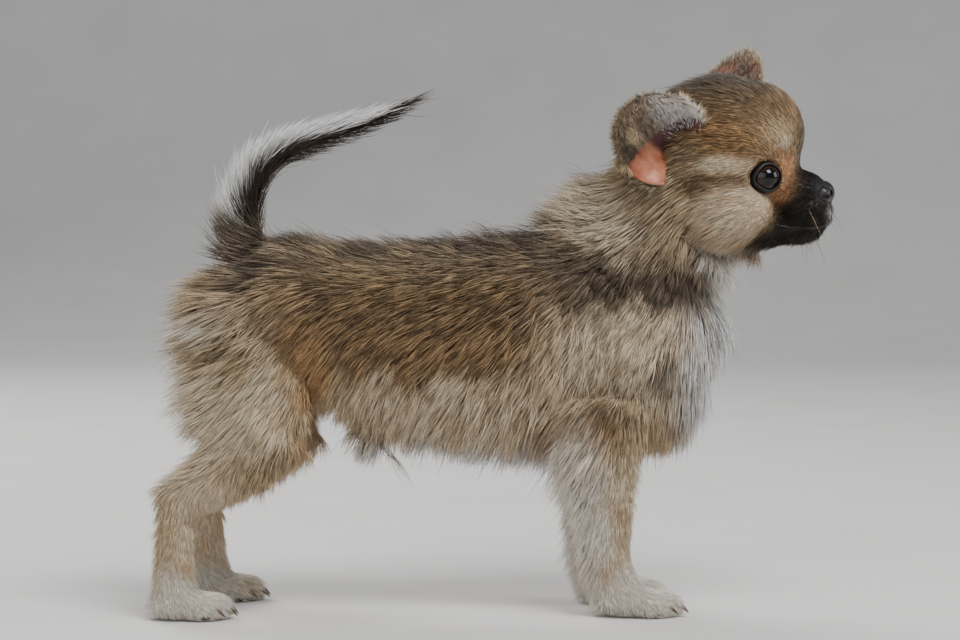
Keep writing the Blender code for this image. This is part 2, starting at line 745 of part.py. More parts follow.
def add_ears(skull, nodes):
    """The two ears, seated on the head with a thin gap."""
    grown = skull.copy()
    grown.data = skull.data.copy()
    bpy.context.scene.collection.objects.link(grown)
    add_modifier(grown, "DISPLACE", strength=GAP * MM, mid_level=0.0)
    apply_modifiers(grown)
    for name, (root, way_up, way_out, fold) in EARS.items():
        shell = ear(name, root, way_up, way_out, fold)
        boolean(shell, grown, "DIFFERENCE")
        keep_largest(shell)
        nodes[name] = shell
    drop(grown)


def part_toes(paw_node, x, y):
    """Three grooves between the four toes of a paw."""
    for aside in TOE_GROOVES:
        place = (x + GROOVE_AHEAD, y + aside, GROOVE_HEIGHT)
        groove = ball("groove", place, GROOVE_RADII, segments=6, rings=4)
        boolean(paw_node, groove, "DIFFERENCE")
        drop(groove)
    keep_largest(paw_node)


def centre_over_origin(objects):
    """Sets the origin on the floor, under the middle of the model's box."""
    for axis in (0, 1):
        along = [v.co[axis] for obj in objects for v in obj.data.vertices]
        middle = (min(along) + max(along)) / 2
        for obj in objects:
            obj.location[axis] = -middle


def main():
    clear_scene()
    nodes = {}
    fine = whole_body()
    fuse(fine)
    body = coarser_copy(fine, "torso_rear", BODY_FACES)
    front = coarser_copy(fine, "front", HEAD_FACES)
    drop(fine)
    grow_locks(body, [front])
    stand_on_floor(body)
    for side, word in ((-1, "right"), (1, "left")):
        span = sorted((side * LEG_INNER_Y, side * 90))
        paw_span = sorted((0, side * 90))
        for name, outline, y_range in (
            ("hindpaw", HIND_PAW_CUT, paw_span),
            ("shank", SHANK_CUT, paw_span),
            ("thigh", THIGH_CUT, span),
            ("forepaw", FORE_PAW_CUT, paw_span),
            ("foreleg", FORELEG_CUT, paw_span),
        ):
            nodes[f"{name}_{word}"] = part_off(body, f"{name}_{word}", outline, y_range)
        hind = HIND_STRIDE_PAW if side > 0 else 0
        fore = FORE_STRIDE_PAW if side > 0 else 0
        part_toes(nodes[f"hindpaw_{word}"], HIND_PAW_X + hind, side * HIND_PAW_Y)
        part_toes(nodes[f"forepaw_{word}"], FORE_PAW_X + fore, side * FORE_PAW_Y)
    nodes["tail_plume"] = part_off(body, "tail_plume", PLUME_CUT)
    nodes["tail_root"] = part_off(body, "tail_root", TAIL_CUT)
    nodes["head"] = part_off(front, "head", HEAD_CUT)
    drop(front)
    drop(part_off(body, "spare", HEAD_CUT))
    nodes["neck"] = part_off(body, "neck", NECK_CUT)
    nodes["torso_front"] = part_off(body, "torso_front", TORSO_CUT)
    keep_largest(body)
    nodes["torso_rear"] = body
    add_ears(nodes["head"], nodes)
    carve_eyes(nodes["head"], nodes)
    carve_mouth(nodes["head"])
    carve_nose(nodes["head"], nodes)
    keep_largest(nodes["head"])
    coat = material("coat", (0.45, 0.33, 0.22), 0.8)
    dark = material("wet_black", (0.01, 0.01, 0.01), 0.2)
    for name, obj in nodes.items():
        obj.data.materials.clear()
        obj.data.materials.append(dark if name in ("nose", "eye_left", "eye_right") else coat)
        obj.data.shade_smooth()
    centre_over_origin(nodes.values())


main()
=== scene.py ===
"""The looks of a long-coated chihuahua puppy, a still life-size museum model, standing."""

import math

import bpy
import numpy as np
from mathutils import Matrix, Vector
from mathutils.bvhtree import BVHTree
from mathutils.kdtree import KDTree


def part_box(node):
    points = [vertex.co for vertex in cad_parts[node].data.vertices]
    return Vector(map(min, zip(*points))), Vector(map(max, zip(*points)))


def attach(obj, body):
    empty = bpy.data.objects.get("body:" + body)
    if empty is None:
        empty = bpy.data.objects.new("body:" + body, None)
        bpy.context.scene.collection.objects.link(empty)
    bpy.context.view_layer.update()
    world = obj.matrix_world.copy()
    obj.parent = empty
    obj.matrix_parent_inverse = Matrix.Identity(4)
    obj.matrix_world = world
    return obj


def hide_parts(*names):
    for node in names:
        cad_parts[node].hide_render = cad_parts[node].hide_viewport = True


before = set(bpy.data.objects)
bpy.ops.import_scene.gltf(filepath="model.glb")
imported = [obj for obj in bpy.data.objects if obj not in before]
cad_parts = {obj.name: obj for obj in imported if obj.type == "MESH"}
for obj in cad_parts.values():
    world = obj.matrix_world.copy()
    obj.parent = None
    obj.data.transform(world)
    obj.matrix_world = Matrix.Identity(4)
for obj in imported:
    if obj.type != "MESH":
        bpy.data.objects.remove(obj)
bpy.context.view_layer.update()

# Sizes and places are in millimetres, x towards the nose, y to the animal's left, z up
MM = 0.001
SEED = 7

# The flesh under the coat, station by station: x, top, bottom, half width
TRUNK = (
    (-113, 134, 119, 6),
    (-105, 142, 101, 16),
    (-92, 146, 88, 22.5),
    (-78, 147.5, 84, 25),
    (-64, 146, 82.5, 25),
    (-48, 145.5, 77, 25.5),
    (-28, 145.5, 72, 27),
    (-8, 147, 69, 28),
    (12, 149, 67, 28),
    (32, 151, 65, 28),
    (52, 148, 66, 26.5),
    (67, 144, 69, 24),
    (78.5, 138, 76, 19),
    (85.5, 126, 88, 11),
    (87, 115, 98, 5),
)
# x, y, z, half depth, half width
NECK = (
    (40, 0, 124, 33, 27),
    (55, 0, 140, 32, 25),
    (70, -1, 154, 29, 23.5),
    (78, -3, 170, 23, 22),
    (86, -4, 183, 18, 18),
)
THIGH = (
    (-100, 12, 124, 17, 12),
    (-97, 16, 102, 22, 12.5),
    (-93, 18.5, 82, 22, 12),
    (-89, 20, 66, 16, 11),
)
SHANK = (
    (-86, 21, 76, 19, 12),
    (-99, 22, 62, 14.5, 10.5),
    (-112, 23.5, 53, 10.5, 8.5),
    (-123, 24.5, 47, 8, 7),
)
HIND_PASTERN = (
    (-123.5, 24.5, 50, 7.5, 7),
    (-124, 25, 30, 7.5, 7),
    (-124.5, 26, 14, 8.5, 8),
    (-123, 26, 5, 10, 9),
)
HIND_PAW = (-119.5, 26.0)
HIND_STRIDE_HOCK, HIND_STRIDE_PAW = 7.0, 9.0
FORELEG = (
    (44, 18, 84, 19, 11),
    (44, 18, 66, 15.5, 11),
    (46, 18, 46, 11.5, 9),
    (45.5, 18, 31, 9.8, 8),
    (47, 18, 20, 9.2, 8),
    (51, 18, 8, 10.5, 9),
)
FORE_PAW = (58.0, 18.0)
FORE_STRIDE_PAW = -5.0
# Ahead of the paw's middle and aside of it
TOES = ((6, -7), (10.5, -2.7), (10.5, 2.7), (6, 7))
SHEATH = ((-47, 0, 71), (8, 3.6, 4.6))
TAIL = (
    (-97, 0, 143, 8, 8),
    (-98, 0, 158, 5.5, 5.5),
    (-95, 0, 170, 4.5, 4.5),
    (-87, 0, 180.5, 4, 4),
    (-74, 0, 187.5, 3.4, 3.4),
    (-60, 0, 192, 2.8, 2.8),
    (-46, 0, 197, 2.2, 2.2),
    (-33, 0, 203, 1.2, 1.2),
)

# The head has its own frame: ahead, left and up from the middle of the skull
SKULL = (92.8, -4.0, 183.6)
HEAD_YAW = -15.0
HEAD_MASSES = (
    ((0, 0, 0), (30.5, 26.5, 29.5)),
    ((11, 0, 7), (21, 21.5, 20)),
    ((19, 9, 3), (9.5, 9, 8)),
    ((6, 14, -22), (16, 12.5, 12)),
    ((2, 11, -25), (18, 13, 12.5)),
    ((12, 0, -29), (19, 13, 9)),
    ((30, 0, -17), (12.8, 11, 9.6)),
    ((34.5, 3.6, -24), (9.3, 8, 7.2)),
    ((28, 0, -30.5), (12, 9, 5.6)),
)
# The solid eye's place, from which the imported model's shift is read, and the dressed eye's
CAD_EYE_PLACE = (21.2, 15.0, -9.3)
EYE_PLACE = (19.2, 15.7, -10.2)
EYE_RADIUS = 6.1
EYE_GAZE = (0.60, 0.80, 0.05)
LID_GAP, LID_THICKNESS = 0.12, 0.6
SOCKET = 7.0
NOSE_PLACE = (39.8, 0, -16.3)
NOSE_RADII = (4.6, 6.6, 5.0)
# The mouth line, from the philtrum back to the corner, and the philtrum down to it
MOUTH = ((43, 0, -26), (41.5, 4.5, -28), (37, 8.5, -30), (31, 11.5, -30.5), (25, 13.4, -29))
PHILTRUM = ((44.2, 0, -20.5), (43.9, 0, -23.3), (43, 0, -26))

HEAD_FRAME = Matrix.Translation(SKULL) @ Matrix.Rotation(math.radians(HEAD_YAW), 4, "Z")
HEAD_TURN = HEAD_FRAME.to_3x3()
_low, _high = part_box("eye_right")
_eye = HEAD_FRAME @ Vector((CAD_EYE_PLACE[0], -CAD_EYE_PLACE[1], CAD_EYE_PLACE[2]))
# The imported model's origin is under the middle of its box: how far that moves each place, in metres
SHIFT = (_low + _high) / 2 - _eye * MM

# Each ear is a sheet from its base to a crest. The right one folds over at its crest.
# Root and ways are in the head's frame, the rest is measured on the sheet: forwards along it and up.
# A cup has its depth at the rear and at the front, a flap the height of its free edge at the middle
# and how much lower that edge is at the rear and at the front
EARS = {
    "right": {
        "root": (-17.5, -22.5, 0.5),
        "up": (-0.55, -0.50, 0.66),
        "out": (0.42, -0.88, -0.20),
        "base": ((-11, -5), (13, -1)),
        "reach": 16.5,
        "crest": (8.5, 14.6, 2.7),
        "cup": (10.5, 7.5),
        "flap": (14.0, 2.0, 7.0),
    },
    "left": {
        "root": (-10, 19.5, 7),
        "up": (0.42, 0.28, 0.86),
        "out": (0.35, 0.92, -0.20),
        "base": ((-12, -4), (12, -4)),
        "reach": 17.0,
        "crest": (13.0, 24.0, 2.3),
        "cup": (9.0, 8.0),
        "flap": None,
    },
}
EAR_THICKNESS = 1.4
FOLD_RADIUS, FOLD_TILT = 2.2, math.radians(14)
FLAP_FROM = 1.4

SKIN_VOXEL = 1.4

# A tuft's width for its length, the share of tufts that stray, and the length from which hair is long
WIDTH_BASE, WIDTH_PER_LENGTH = 0.17, 0.009
STRAY_SHARE = 0.035
LONG_FROM = 11.5
# Points along a short and a long tuft, the size of their clumps and how strongly clumps draw together
SHORT_TUFT = ((0, 0.45, 1), 1.7, 0.35)
LONG_TUFT = ((0, 0.34, 0.68, 1), 2.5, 0.45)
COAT_SCALE = 1.05
# Half the side of a tuft's patch on the map
PATCH = 0.0015
# Half angles about the gaze: kept clear of hair, and open between the lids
EYE_CLEARING, LID_OPENING = 54, 46
EAR_HAIRS = {"right": 11000, "left": 7000}
WHISKER_WIDTH, WISP_WIDTH = 0.11, 0.19
WISP_HAIRS = 14
CAMERA_AWAY, CAMERA_PITCH, CAMERA_TARGET = 1.2, 3, (-4, 0, 116.4)

# How the coat lies: place on the left side, way it lies, length of hair, depth of the coat
COMB = (
    # nape, neck and throat
    ((50, 0, 185), (-0.80, 0, -0.50), 16, 10),
    ((66, 0, 196), (-0.70, 0, -0.60), 15, 7),
    ((62, 28, 172), (-0.60, 0.10, -0.75), 16, 6),
    ((78, 28, 150), (-0.40, 0.05, -0.90), 16, 5),
    ((102, 0, 142), (0.25, 0, -1.00), 15, 7),
    # chest and between the forelegs
    ((96, 0, 124), (0.12, 0, -0.98), 19, 5),
    ((94, 0, 104), (0.00, 0, -1.00), 20, 4.5),
    ((78, 12, 84), (-0.05, 0, -1.00), 18, 4.5),
    ((64, 0, 66), (0, 0, -1.00), 14, 6),
    # withers, shoulder and upper arm
    ((18, 0, 158), (-0.97, 0, -0.05), 15, 9),
    ((34, 0, 165), (-0.90, 0, 0.05), 16, 10.5),
    ((50, 30, 130), (-0.60, 0, -0.80), 11, 4),
    ((50, 32, 95), (-0.40, 0, -0.93), 10, 3.6),
    ((30, 28, 72), (-0.55, 0.05, -0.85), 14, 6),
    # back, flank and belly
    ((-30, 0, 150), (-1.00, 0, -0.02), 14, 8.0),
    ((-70, 0, 152), (-1.00, 0, 0.05), 14, 8.5),
    ((-20, 30, 130), (-0.92, 0, -0.38), 13, 4.6),
    ((-20, 34, 105), (-0.80, 0.05, -0.60), 13, 4.6),
    ((-20, 28, 78), (-0.62, 0.05, -0.80), 15, 6),
    ((5, 12, 62), (-0.40, 0, -0.93), 17, 9),
    ((-25, 6, 66), (-0.35, 0, -0.95), 16, 8),
    ((24, 18, 60), (-0.45, 0.05, -0.95), 22, 10),
    ((-50, 10, 72), (-0.30, 0, -0.95), 12, 6),
    # croup, thigh and hock
    ((-85, 8, 152), (-0.85, 0, -0.40), 15, 7.5),
    ((-88, 34, 115), (-0.70, 0, -0.72), 14, 4.6),
    ((-85, 32, 85), (-0.60, 0, -0.80), 13, 4.4),
    ((-116, 10, 140), (-0.88, 0.05, -0.20), 18, 9),
    ((-120, 18, 118), (-0.88, 0.10, -0.45), 19, 9),
    ((-118, 24, 88), (-0.85, 0.10, -0.55), 19, 9),
    ((-120, 26, 60), (-0.85, 0, -0.50), 11, 5),
    ((-66, 24, 68), (-0.20, 0, -1.00), 9, 3),
    ((-95, 3, 100), (-0.30, 0, -1.00), 8, 2.5),
    ((-85, 8, 78), (-0.30, 0, -1.00), 8, 2.5),
    ((48, 8, 62), (-0.20, 0, -1.00), 10, 3),
    # tail, from its root round to its tip
    ((-112, 0, 150), (-0.40, 0, 0.90), 18, 9),
    ((-106, 0, 172), (0.05, 0, 1.00), 18, 8),
    ((-88, 8, 188), (0.65, 0, 0.75), 17, 7),
    ((-70, 0, 200), (0.92, 0, 0.38), 17, 6),
    ((-45, 0, 205), (0.96, 0, 0.28), 15, 4),
    ((-70, 0, 180), (0.92, 0, 0.25), 14, 6),
    ((-84, 0, 160), (0.10, 0, 1.00), 13, 5),
    # legs and paws
    ((58, 20, 48), (0.05, 0, -1.00), 6.5, 2.3),
    ((34, 20, 46), (-0.50, 0.05, -0.85), 14, 6.5),
    ((46, 28, 46), (-0.25, 0, -1.00), 7, 1.6),
    ((46, 9, 46), (-0.10, 0, -1.00), 5, 1.2),
    ((37, 20, 24), (-0.45, 0.05, -0.85), 12, 5.5),
    ((56, 18, 24), (0.15, 0, -1.00), 4.5, 1.2),
    ((46, 28, 24), (-0.15, 0, -1.00), 5.5, 1.6),
    ((66, 18, 11), (0.85, 0, -0.45), 4.5, 1.4),
    ((50, 28, 8), (0.35, 0.25, -0.90), 5, 1.8),
    ((42, 18, 6), (-0.40, 0, -0.90), 7, 3.5),
    ((-112, 26, 40), (0.05, 0, -1.00), 5.5, 1.4),
    ((-131, 26, 35), (-0.25, 0, -1.00), 8.5, 3.2),
    ((-122, 34, 36), (-0.05, 0, -1.00), 5.5, 1.4),
    ((-122, 17, 36), (-0.05, 0, -1.00), 5, 1.2),
    ((-110, 26, 11), (0.85, 0, -0.45), 4.5, 1.4),
    ((-126, 35, 8), (0.20, 0.25, -0.90), 5, 1.8),
    ((-134, 26, 7), (-0.40, 0, -0.90), 6, 2.5),
)
# The same on the head, in the head's own frame
HEAD_COMB = (
    ((38, 0, -9), (-1.00, 0, 0.20), 2.4, 0.6),
    ((36, 9, -15), (-0.85, 0.25, -0.30), 3.0, 0.8),
    ((39, 8, -22), (-0.45, 0.25, -0.85), 3.6, 1.2),
    ((34, 8, -31), (-0.75, 0.15, -0.60), 4.5, 1.6),
    ((38, 0, -34), (-0.40, 0, -0.90), 4, 1.6),
    ((24, 0, -38), (-0.80, 0, -0.55), 5.5, 2.0),
    ((30, 0, -3), (-0.20, 0, 1.00), 3, 0.9),
    ((26, 8, -6), (-0.10, 0.20, 1.00), 2.6, 0.6),
    ((22, 12, 3), (-0.60, 0.30, 0.75), 4, 1.5),
    ((24, 0, 16), (-0.75, 0, 0.65), 7, 1.6),
    ((0, 0, 31), (-1.00, 0, 0.05), 10, 2.6),
    ((-24, 0, 18), (-0.80, 0, -0.55), 12, 5),
    ((8, 24, 10), (-0.98, 0.10, 0.02), 9.5, 1.9),
    ((9, 23, -4), (-1.00, 0.15, -0.05), 7.5, 1.5),
    ((24, 12, -16), (-0.70, 0.35, -0.60), 2.6, 0.6),
    ((17, 19, -20), (-0.92, 0.30, -0.20), 5.5, 1.1),
    ((8, 27, -18), (-0.95, 0.10, -0.28), 9, 2.2),
    ((2, 23, -32), (-0.85, 0.10, -0.45), 10, 3.5),
    ((22, 11, -33), (-0.90, 0.10, -0.35), 6, 1.8),
    ((-6, 28, -4), (-0.90, 0.20, -0.25), 8, 2.5),
    ((-16, 24, -18), (-0.75, 0.10, -0.65), 14, 6),
)

# Hair colours
PALETTE = {
    "black": "120e0c",
    "umber": "2e241c",
    "sable": "4c3c2f",
    "smoke": "6f6458",
    "mouse": "93826f",
    "fawn": "b0906a",
    "tan": "bf9868",
    "amber": "b87842",
    "peach": "dfb68c",
    "sand": "d6bd97",
    "cream": "e9d9bd",
    "ivory": "f3ece0",
    "silver": "ecebea",
    "rose": "c4805f",
    # A deep red for the painted shade in the ear's canal
    "canal_shade_red": "4c1611",
}
# Body markings, painted one over another: middle, radii, softness, pale hair, dark hair and the
# share of dark hairs. Both sides are alike
BODY_PATCHES = (
    ((0, 0, 100), (400, 400, 400), 0.1, "sand", "smoke", 0.30),
    ((-20, 34, 120), (110, 26, 24), 0.5, "fawn", "umber", 0.54),
    ((-20, 0, 156), (115, 30, 18), 0.45, "mouse", "black", 0.64),
    ((8, 0, 158), (26, 32, 17), 0.45, "mouse", "black", 0.72),
    ((-100, 20, 141), (18, 26, 11), 0.45, "mouse", "black", 0.66),
    ((-26, 34, 86), (60, 26, 15), 0.5, "cream", "fawn", 0.34),
    ((-20, 34, 108), (40, 26, 7), 0.6, "fawn", "umber", 0.40),
    ((-14, 0, 60), (56, 30, 15), 0.4, "silver", "smoke", 0.42),
    ((-70, 28, 92), (9, 20, 24), 0.7, "tan", "fawn", 0.40),
    ((-102, 34, 92), (24, 24, 34), 0.5, "cream", "sand", 0.36),
    ((-100, 34, 107), (14, 20, 8), 0.6, "sand", "umber", 0.60),
    ((-118, 22, 118), (12, 24, 5), 0.6, "ivory", "sand", 0.28),
    ((-120, 20, 133), (20, 30, 10), 0.5, "sand", "umber", 0.52),
    ((-130, 22, 92), (14, 24, 26), 0.5, "ivory", "cream", 0.28),
    ((-92, 30, 60), (10, 16, 9), 0.6, "sand", "umber", 0.50),
    ((52, 30, 108), (30, 30, 24), 0.5, "cream", "fawn", 0.30),
    ((68, 24, 100), (7, 20, 6), 0.6, "mouse", "smoke", 0.50),
    ((42, 30, 79), (18, 24, 10), 0.7, "fawn", "sable", 0.46),
    ((96, 0, 104), (24, 34, 36), 0.4, "silver", "smoke", 0.32),
    ((60, 26, 135), (33, 30, 10), 0.5, "mouse", "umber", 0.62),
    ((43, 22, 160), (20, 30, 15), 0.5, "cream", "mouse", 0.30),
    ((34, 0, 180), (26, 20, 14), 0.5, "mouse", "black", 0.55),
    ((102, 0, 142), (20, 24, 14), 0.4, "ivory", "silver", 0.20),
    ((52, 20, 36), (20, 20, 36), 0.4, "cream", "tan", 0.38),
    ((35, 20, 40), (13, 20, 36), 0.5, "ivory", "cream", 0.22),
    ((58, 18, 6), (26, 20, 14), 0.4, "ivory", "cream", 0.25),
    ((-112, 24, 40), (16, 20, 30), 0.4, "cream", "peach", 0.38),
    ((-130, 24, 64), (8, 16, 8), 0.5, "smoke", "umber", 0.60),
    ((-118, 26, 6), (26, 20, 14), 0.4, "ivory", "cream", 0.25),
)
# The tail is pale along its outer side and dark along its inner side, partly its own colour and partly
# painted light on the outer side and painted shade on the inner side, which faces the back. It is also
# dark at its tip
TAIL_FROM = 149
TAIL_TIP = -40
# Head markings, with a painted highlight on the edge of the upper lip, in the head's own frame
HEAD_PATCHES = (
    ((0, 0, 0), (90, 90, 90), 0.1, "fawn", "umber", 0.46),
    ((-2, 0, 32), (36, 20, 17), 0.5, "mouse", "black", 0.66),
    ((2, 28, 4), (24, 12, 13), 0.5, "tan", "umber", 0.56),
    ((-10, 26, 4), (9, 12, 14), 0.5, "fawn", "umber", 0.62),
    ((6, 28, -26), (24, 16, 12), 0.5, "cream", "peach", 0.32),
    ((-14, 26, -16), (18, 18, 18), 0.5, "sand", "smoke", 0.42),
    ((1, 28, -12), (13, 10, 4), 0.5, "fawn", "black", 0.66),
    ((12, 26, -19), (16, 12, 7), 0.5, "cream", "peach", 0.38),
    ((8, 26, -5), (10, 12, 3.4), 0.5, "cream", "peach", 0.32),
    ((26, 12, -12), (6, 10, 10), 0.5, "peach", "amber", 0.65),
    ((30, 0, 2), (9, 5, 12), 0.5, "mouse", "black", 0.62),
    ((22, 12, 6), (8, 7, 6), 0.5, "sand", "umber", 0.35),
    ((21, 12, 0), (3, 4, 2.2), 0.6, "smoke", "black", 0.75),
    ((24.5, 9.5, 3), (3.6, 4.5, 3.4), 0.6, "ivory", "ivory", 0.10),
    ((42, 0, -18), (13.5, 20, 16), 0.28, "umber", "black", 0.80),
    ((34, 0, -26), (11, 26, 9), 0.28, "umber", "black", 0.80),
    ((30, 0, -40), (17, 30, 13), 0.30, "umber", "black", 0.78),
    # Painted highlight: pale hairs along the edge of the upper lip under the nose
    ((45, 0, -24), (3.5, 7, 3.2), 0.6, "silver", "smoke", 0.45),
    ((2, 0, -46), (20, 24, 8), 0.5, "ivory", "silver", 0.22),
)
CLOUD_WAVES = 14


def srgb(code):
    """A hex colour as linear red, green and blue."""
    parts = [int(code[i : i + 2], 16) / 255 for i in (0, 2, 4)]
    return np.array([p / 12.92 if p <= 0.04045 else ((p + 0.055) / 1.055) ** 2.4 for p in parts])


COLOURS = {name: srgb(code) for name, code in PALETTE.items()}


def normalise(vectors):
    return vectors / np.maximum(np.linalg.norm(vectors, axis=-1, keepdims=True), 1e-9)


def metres(places):
    """Places in the animal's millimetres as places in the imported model's metres."""
    return np.asarray(places) * MM + np.array(SHIFT)


def head_place(point):
    """A place in the head's own frame as one in the animal's."""
    return HEAD_FRAME @ Vector(point)


def smooth_path(stations, steps):
    """Catmull-Rom values between stations."""
    padded = [stations[0], *stations, stations[-1]]
    found = []
    for i in range(len(stations) - 1):
        a, b, c, d = (Vector(p) for p in padded[i : i + 4])
        for s in range(steps):
            t = s / steps
            bend = (2 * a - 5 * b + 4 * c - d) * t * t + (3 * b - a - 3 * c + d) * t**3
            found.append(0.5 * (2 * b + (c - a) * t + bend))
    found.append(Vector(stations[-1]))
    return found


def select_only(*objects):
    bpy.ops.object.select_all(action="DESELECT")
    for obj in objects:
        obj.select_set(True)
    bpy.context.view_layer.objects.active = objects[0]


def ball(place, radii, turn=(0, 0, 0), segments=20, rings=12):
    """A ball in the animal's millimetres, as a primitive of its own."""
    bpy.ops.object.select_all(action="DESELECT")
    bpy.ops.mesh.primitive_uv_sphere_add(
        segments=segments,
        ring_count=rings,
        radius=1,
        location=Vector(metres(place)),
        rotation=turn,
        scale=Vector(radii) * MM,
    )
    return bpy.context.object


def join(objects, name):
    """One object from many, with its place in its mesh."""
    select_only(*objects)
    if len(objects) > 1:
        bpy.ops.object.join()
    made = bpy.context.object
    bpy.ops.object.transform_apply(location=True, rotation=True, scale=True)
    made.name = name
    made.data.name = name
    return made


def modify(obj, kind, **settings):
    """Adds a modifier and applies it."""
    select_only(obj)
    modifier = obj.modifiers.new(kind.title(), kind)
    for key, value in settings.items():
        setattr(modifier, key, value)
    bpy.ops.object.modifier_apply(modifier=modifier.name)


def carve(obj, cutter):
    """Takes a cutter's shape out of an object, and removes the cutter."""
    modify(obj, "BOOLEAN", operation="DIFFERENCE", solver="EXACT", object=cutter)
    bpy.data.objects.remove(cutter)


def face_outwards(obj):
    select_only(obj)
    bpy.ops.object.mode_set(mode="EDIT")
    bpy.ops.mesh.select_all(action="SELECT")
    bpy.ops.mesh.remove_doubles(threshold=1e-6)
    bpy.ops.mesh.normals_make_consistent(inside=False)
    bpy.ops.object.mode_set(mode="OBJECT")


def dress(obj, *materials):
    obj.data.materials.clear()
    for material in materials:
        obj.data.materials.append(material)


def limb(stations, steps=4):
    """Overlapping balls that fill a limb from station to station."""
    rings = smooth_path(stations, steps)
    made = []
    for i, ring in enumerate(rings):
        way = rings[min(i + 1, len(rings) - 1)] - rings[max(i - 1, 0)]
        pitch = -math.atan2(way[2], way[0])
        reach = min(2.7, ring[3], ring[4])
        made.append(ball(ring[:3], (reach, ring[4], ring[3]), (0, pitch, 0), 20, 10))
    return made


def leg_stations(stations, side, stride_top, stride_low):
    """A leg's stations on one side, carried forwards from top to bottom."""
    high, low = stations[0][2], stations[-1][2]
    moved = []
    for x, y, z, depth, width in stations:
        share = (high - z) / (high - low)
        moved.append((x + stride_top + (stride_low - stride_top) * share, side * y, z, depth, width))
    return moved


def paw_places():
    """The middles of the four paws."""
    places = []
    for side in (-1, 1):
        left = side > 0
        places.append((FORE_PAW[0] + (FORE_STRIDE_PAW if left else 0), side * FORE_PAW[1]))
        places.append((HIND_PAW[0] + (HIND_STRIDE_PAW if left else 0), side * HIND_PAW[1]))
    return places


def paw_balls(x, y):
    """The low, wide foot and its four toes."""
    made = [ball((x - 3, y, 6.0), (12, 9.5, 6.2))]
    for ahead, aside in TOES:
        made.append(ball((x + ahead, y + aside, 5.2), (7.4, 3.4, 5.0)))
    return made


def head_ball(place, radii, turn, segments, rings):
    """A ball at a place in the head's own frame."""
    return ball(head_place(place), radii, turn, segments, rings)


def head_balls():
    turn = (0, 0, math.radians(HEAD_YAW))
    made = []
    for place, radii in HEAD_MASSES:
        for side in (-1, 1) if place[1] else (1,):
            made.append(head_ball((place[0], side * place[1], place[2]), radii, turn, 32, 20))
    return made


def make_skin():
    """One skin over trunk, neck, head, legs and tail, with sockets for the eyes."""
    trunk = [(x, 0, (top + low) / 2, (top - low) / 2, wide) for x, top, low, wide in TRUNK]
    parts = limb(trunk) + limb(NECK) + limb(TAIL, 6) + head_balls() + [ball(*SHEATH)]
    for side in (-1, 1):
        left = side > 0
        hock = HIND_STRIDE_HOCK if left else 0
        hind = HIND_STRIDE_PAW if left else 0
        fore = FORE_STRIDE_PAW if left else 0
        parts += limb(leg_stations(THIGH, side, 0, hock * 0.4))
        parts += limb(leg_stations(SHANK, side, hock * 0.4, hock))
        parts += limb(leg_stations(HIND_PASTERN, side, hock, hind))
        parts += limb(leg_stations(FORELEG, side, 0, fore))
    for x, y in paw_places():
        parts += paw_balls(x, y)
    skin = join(parts, "skin")
    modify(skin, "REMESH", mode="VOXEL", voxel_size=SKIN_VOXEL * MM, adaptivity=0.0)
    for side in (-1, 1):
        centre, gaze, _, _ = eye_axes(side)
        carve(skin, ball(centre + gaze * 1.6, (SOCKET, SOCKET, SOCKET), (0, 0, 0), 32, 20))
    modify(skin, "REMESH", mode="VOXEL", voxel_size=SKIN_VOXEL * MM, adaptivity=0.0)
    modify(skin, "SMOOTH", factor=0.5, iterations=5)
    sole = 0.4 * MM
    for vert in skin.data.vertices:
        vert.co.z = max(vert.co.z, sole)
    unwrap(skin)
    skin.data.shade_smooth()
    return skin


def unwrap(obj):
    """Unfolds the object's own shape into a map for its colours, named OFBake."""
    select_only(obj)
    while obj.data.uv_layers:
        obj.data.uv_layers.remove(obj.data.uv_layers[0])
    obj.data.uv_layers.new(name="OFBake")
    bpy.ops.object.mode_set(mode="EDIT")
    bpy.ops.mesh.select_all(action="SELECT")
    bpy.ops.uv.smart_project(angle_limit=math.radians(66), island_margin=0.002)
    bpy.ops.object.mode_set(mode="OBJECT")


def read(items, field, wide, kind=float):
    """A field of a mesh's items, as the rows of an array."""
    values = np.empty(len(items) * wide, kind)
    items.foreach_get(field, values)
    return values.reshape(-1, wide)


def write_colours(mesh, name, rgb):
    """Gives each vertex a colour, as an attribute."""
    rgba = np.concatenate([rgb, np.ones((len(rgb), 1))], axis=1)
    layer = mesh.color_attributes.new(name, "FLOAT_COLOR", "POINT")
    layer.data.foreach_set("color", rgba.astype(np.float32).ravel())


def search_tree(places, marks):
    """A tree that finds the mark of the nearest place."""
    tree = KDTree(len(places))
    for place, mark in zip(places.tolist(), marks):
        tree.insert(place, mark)
    tree.balance()
    return tree


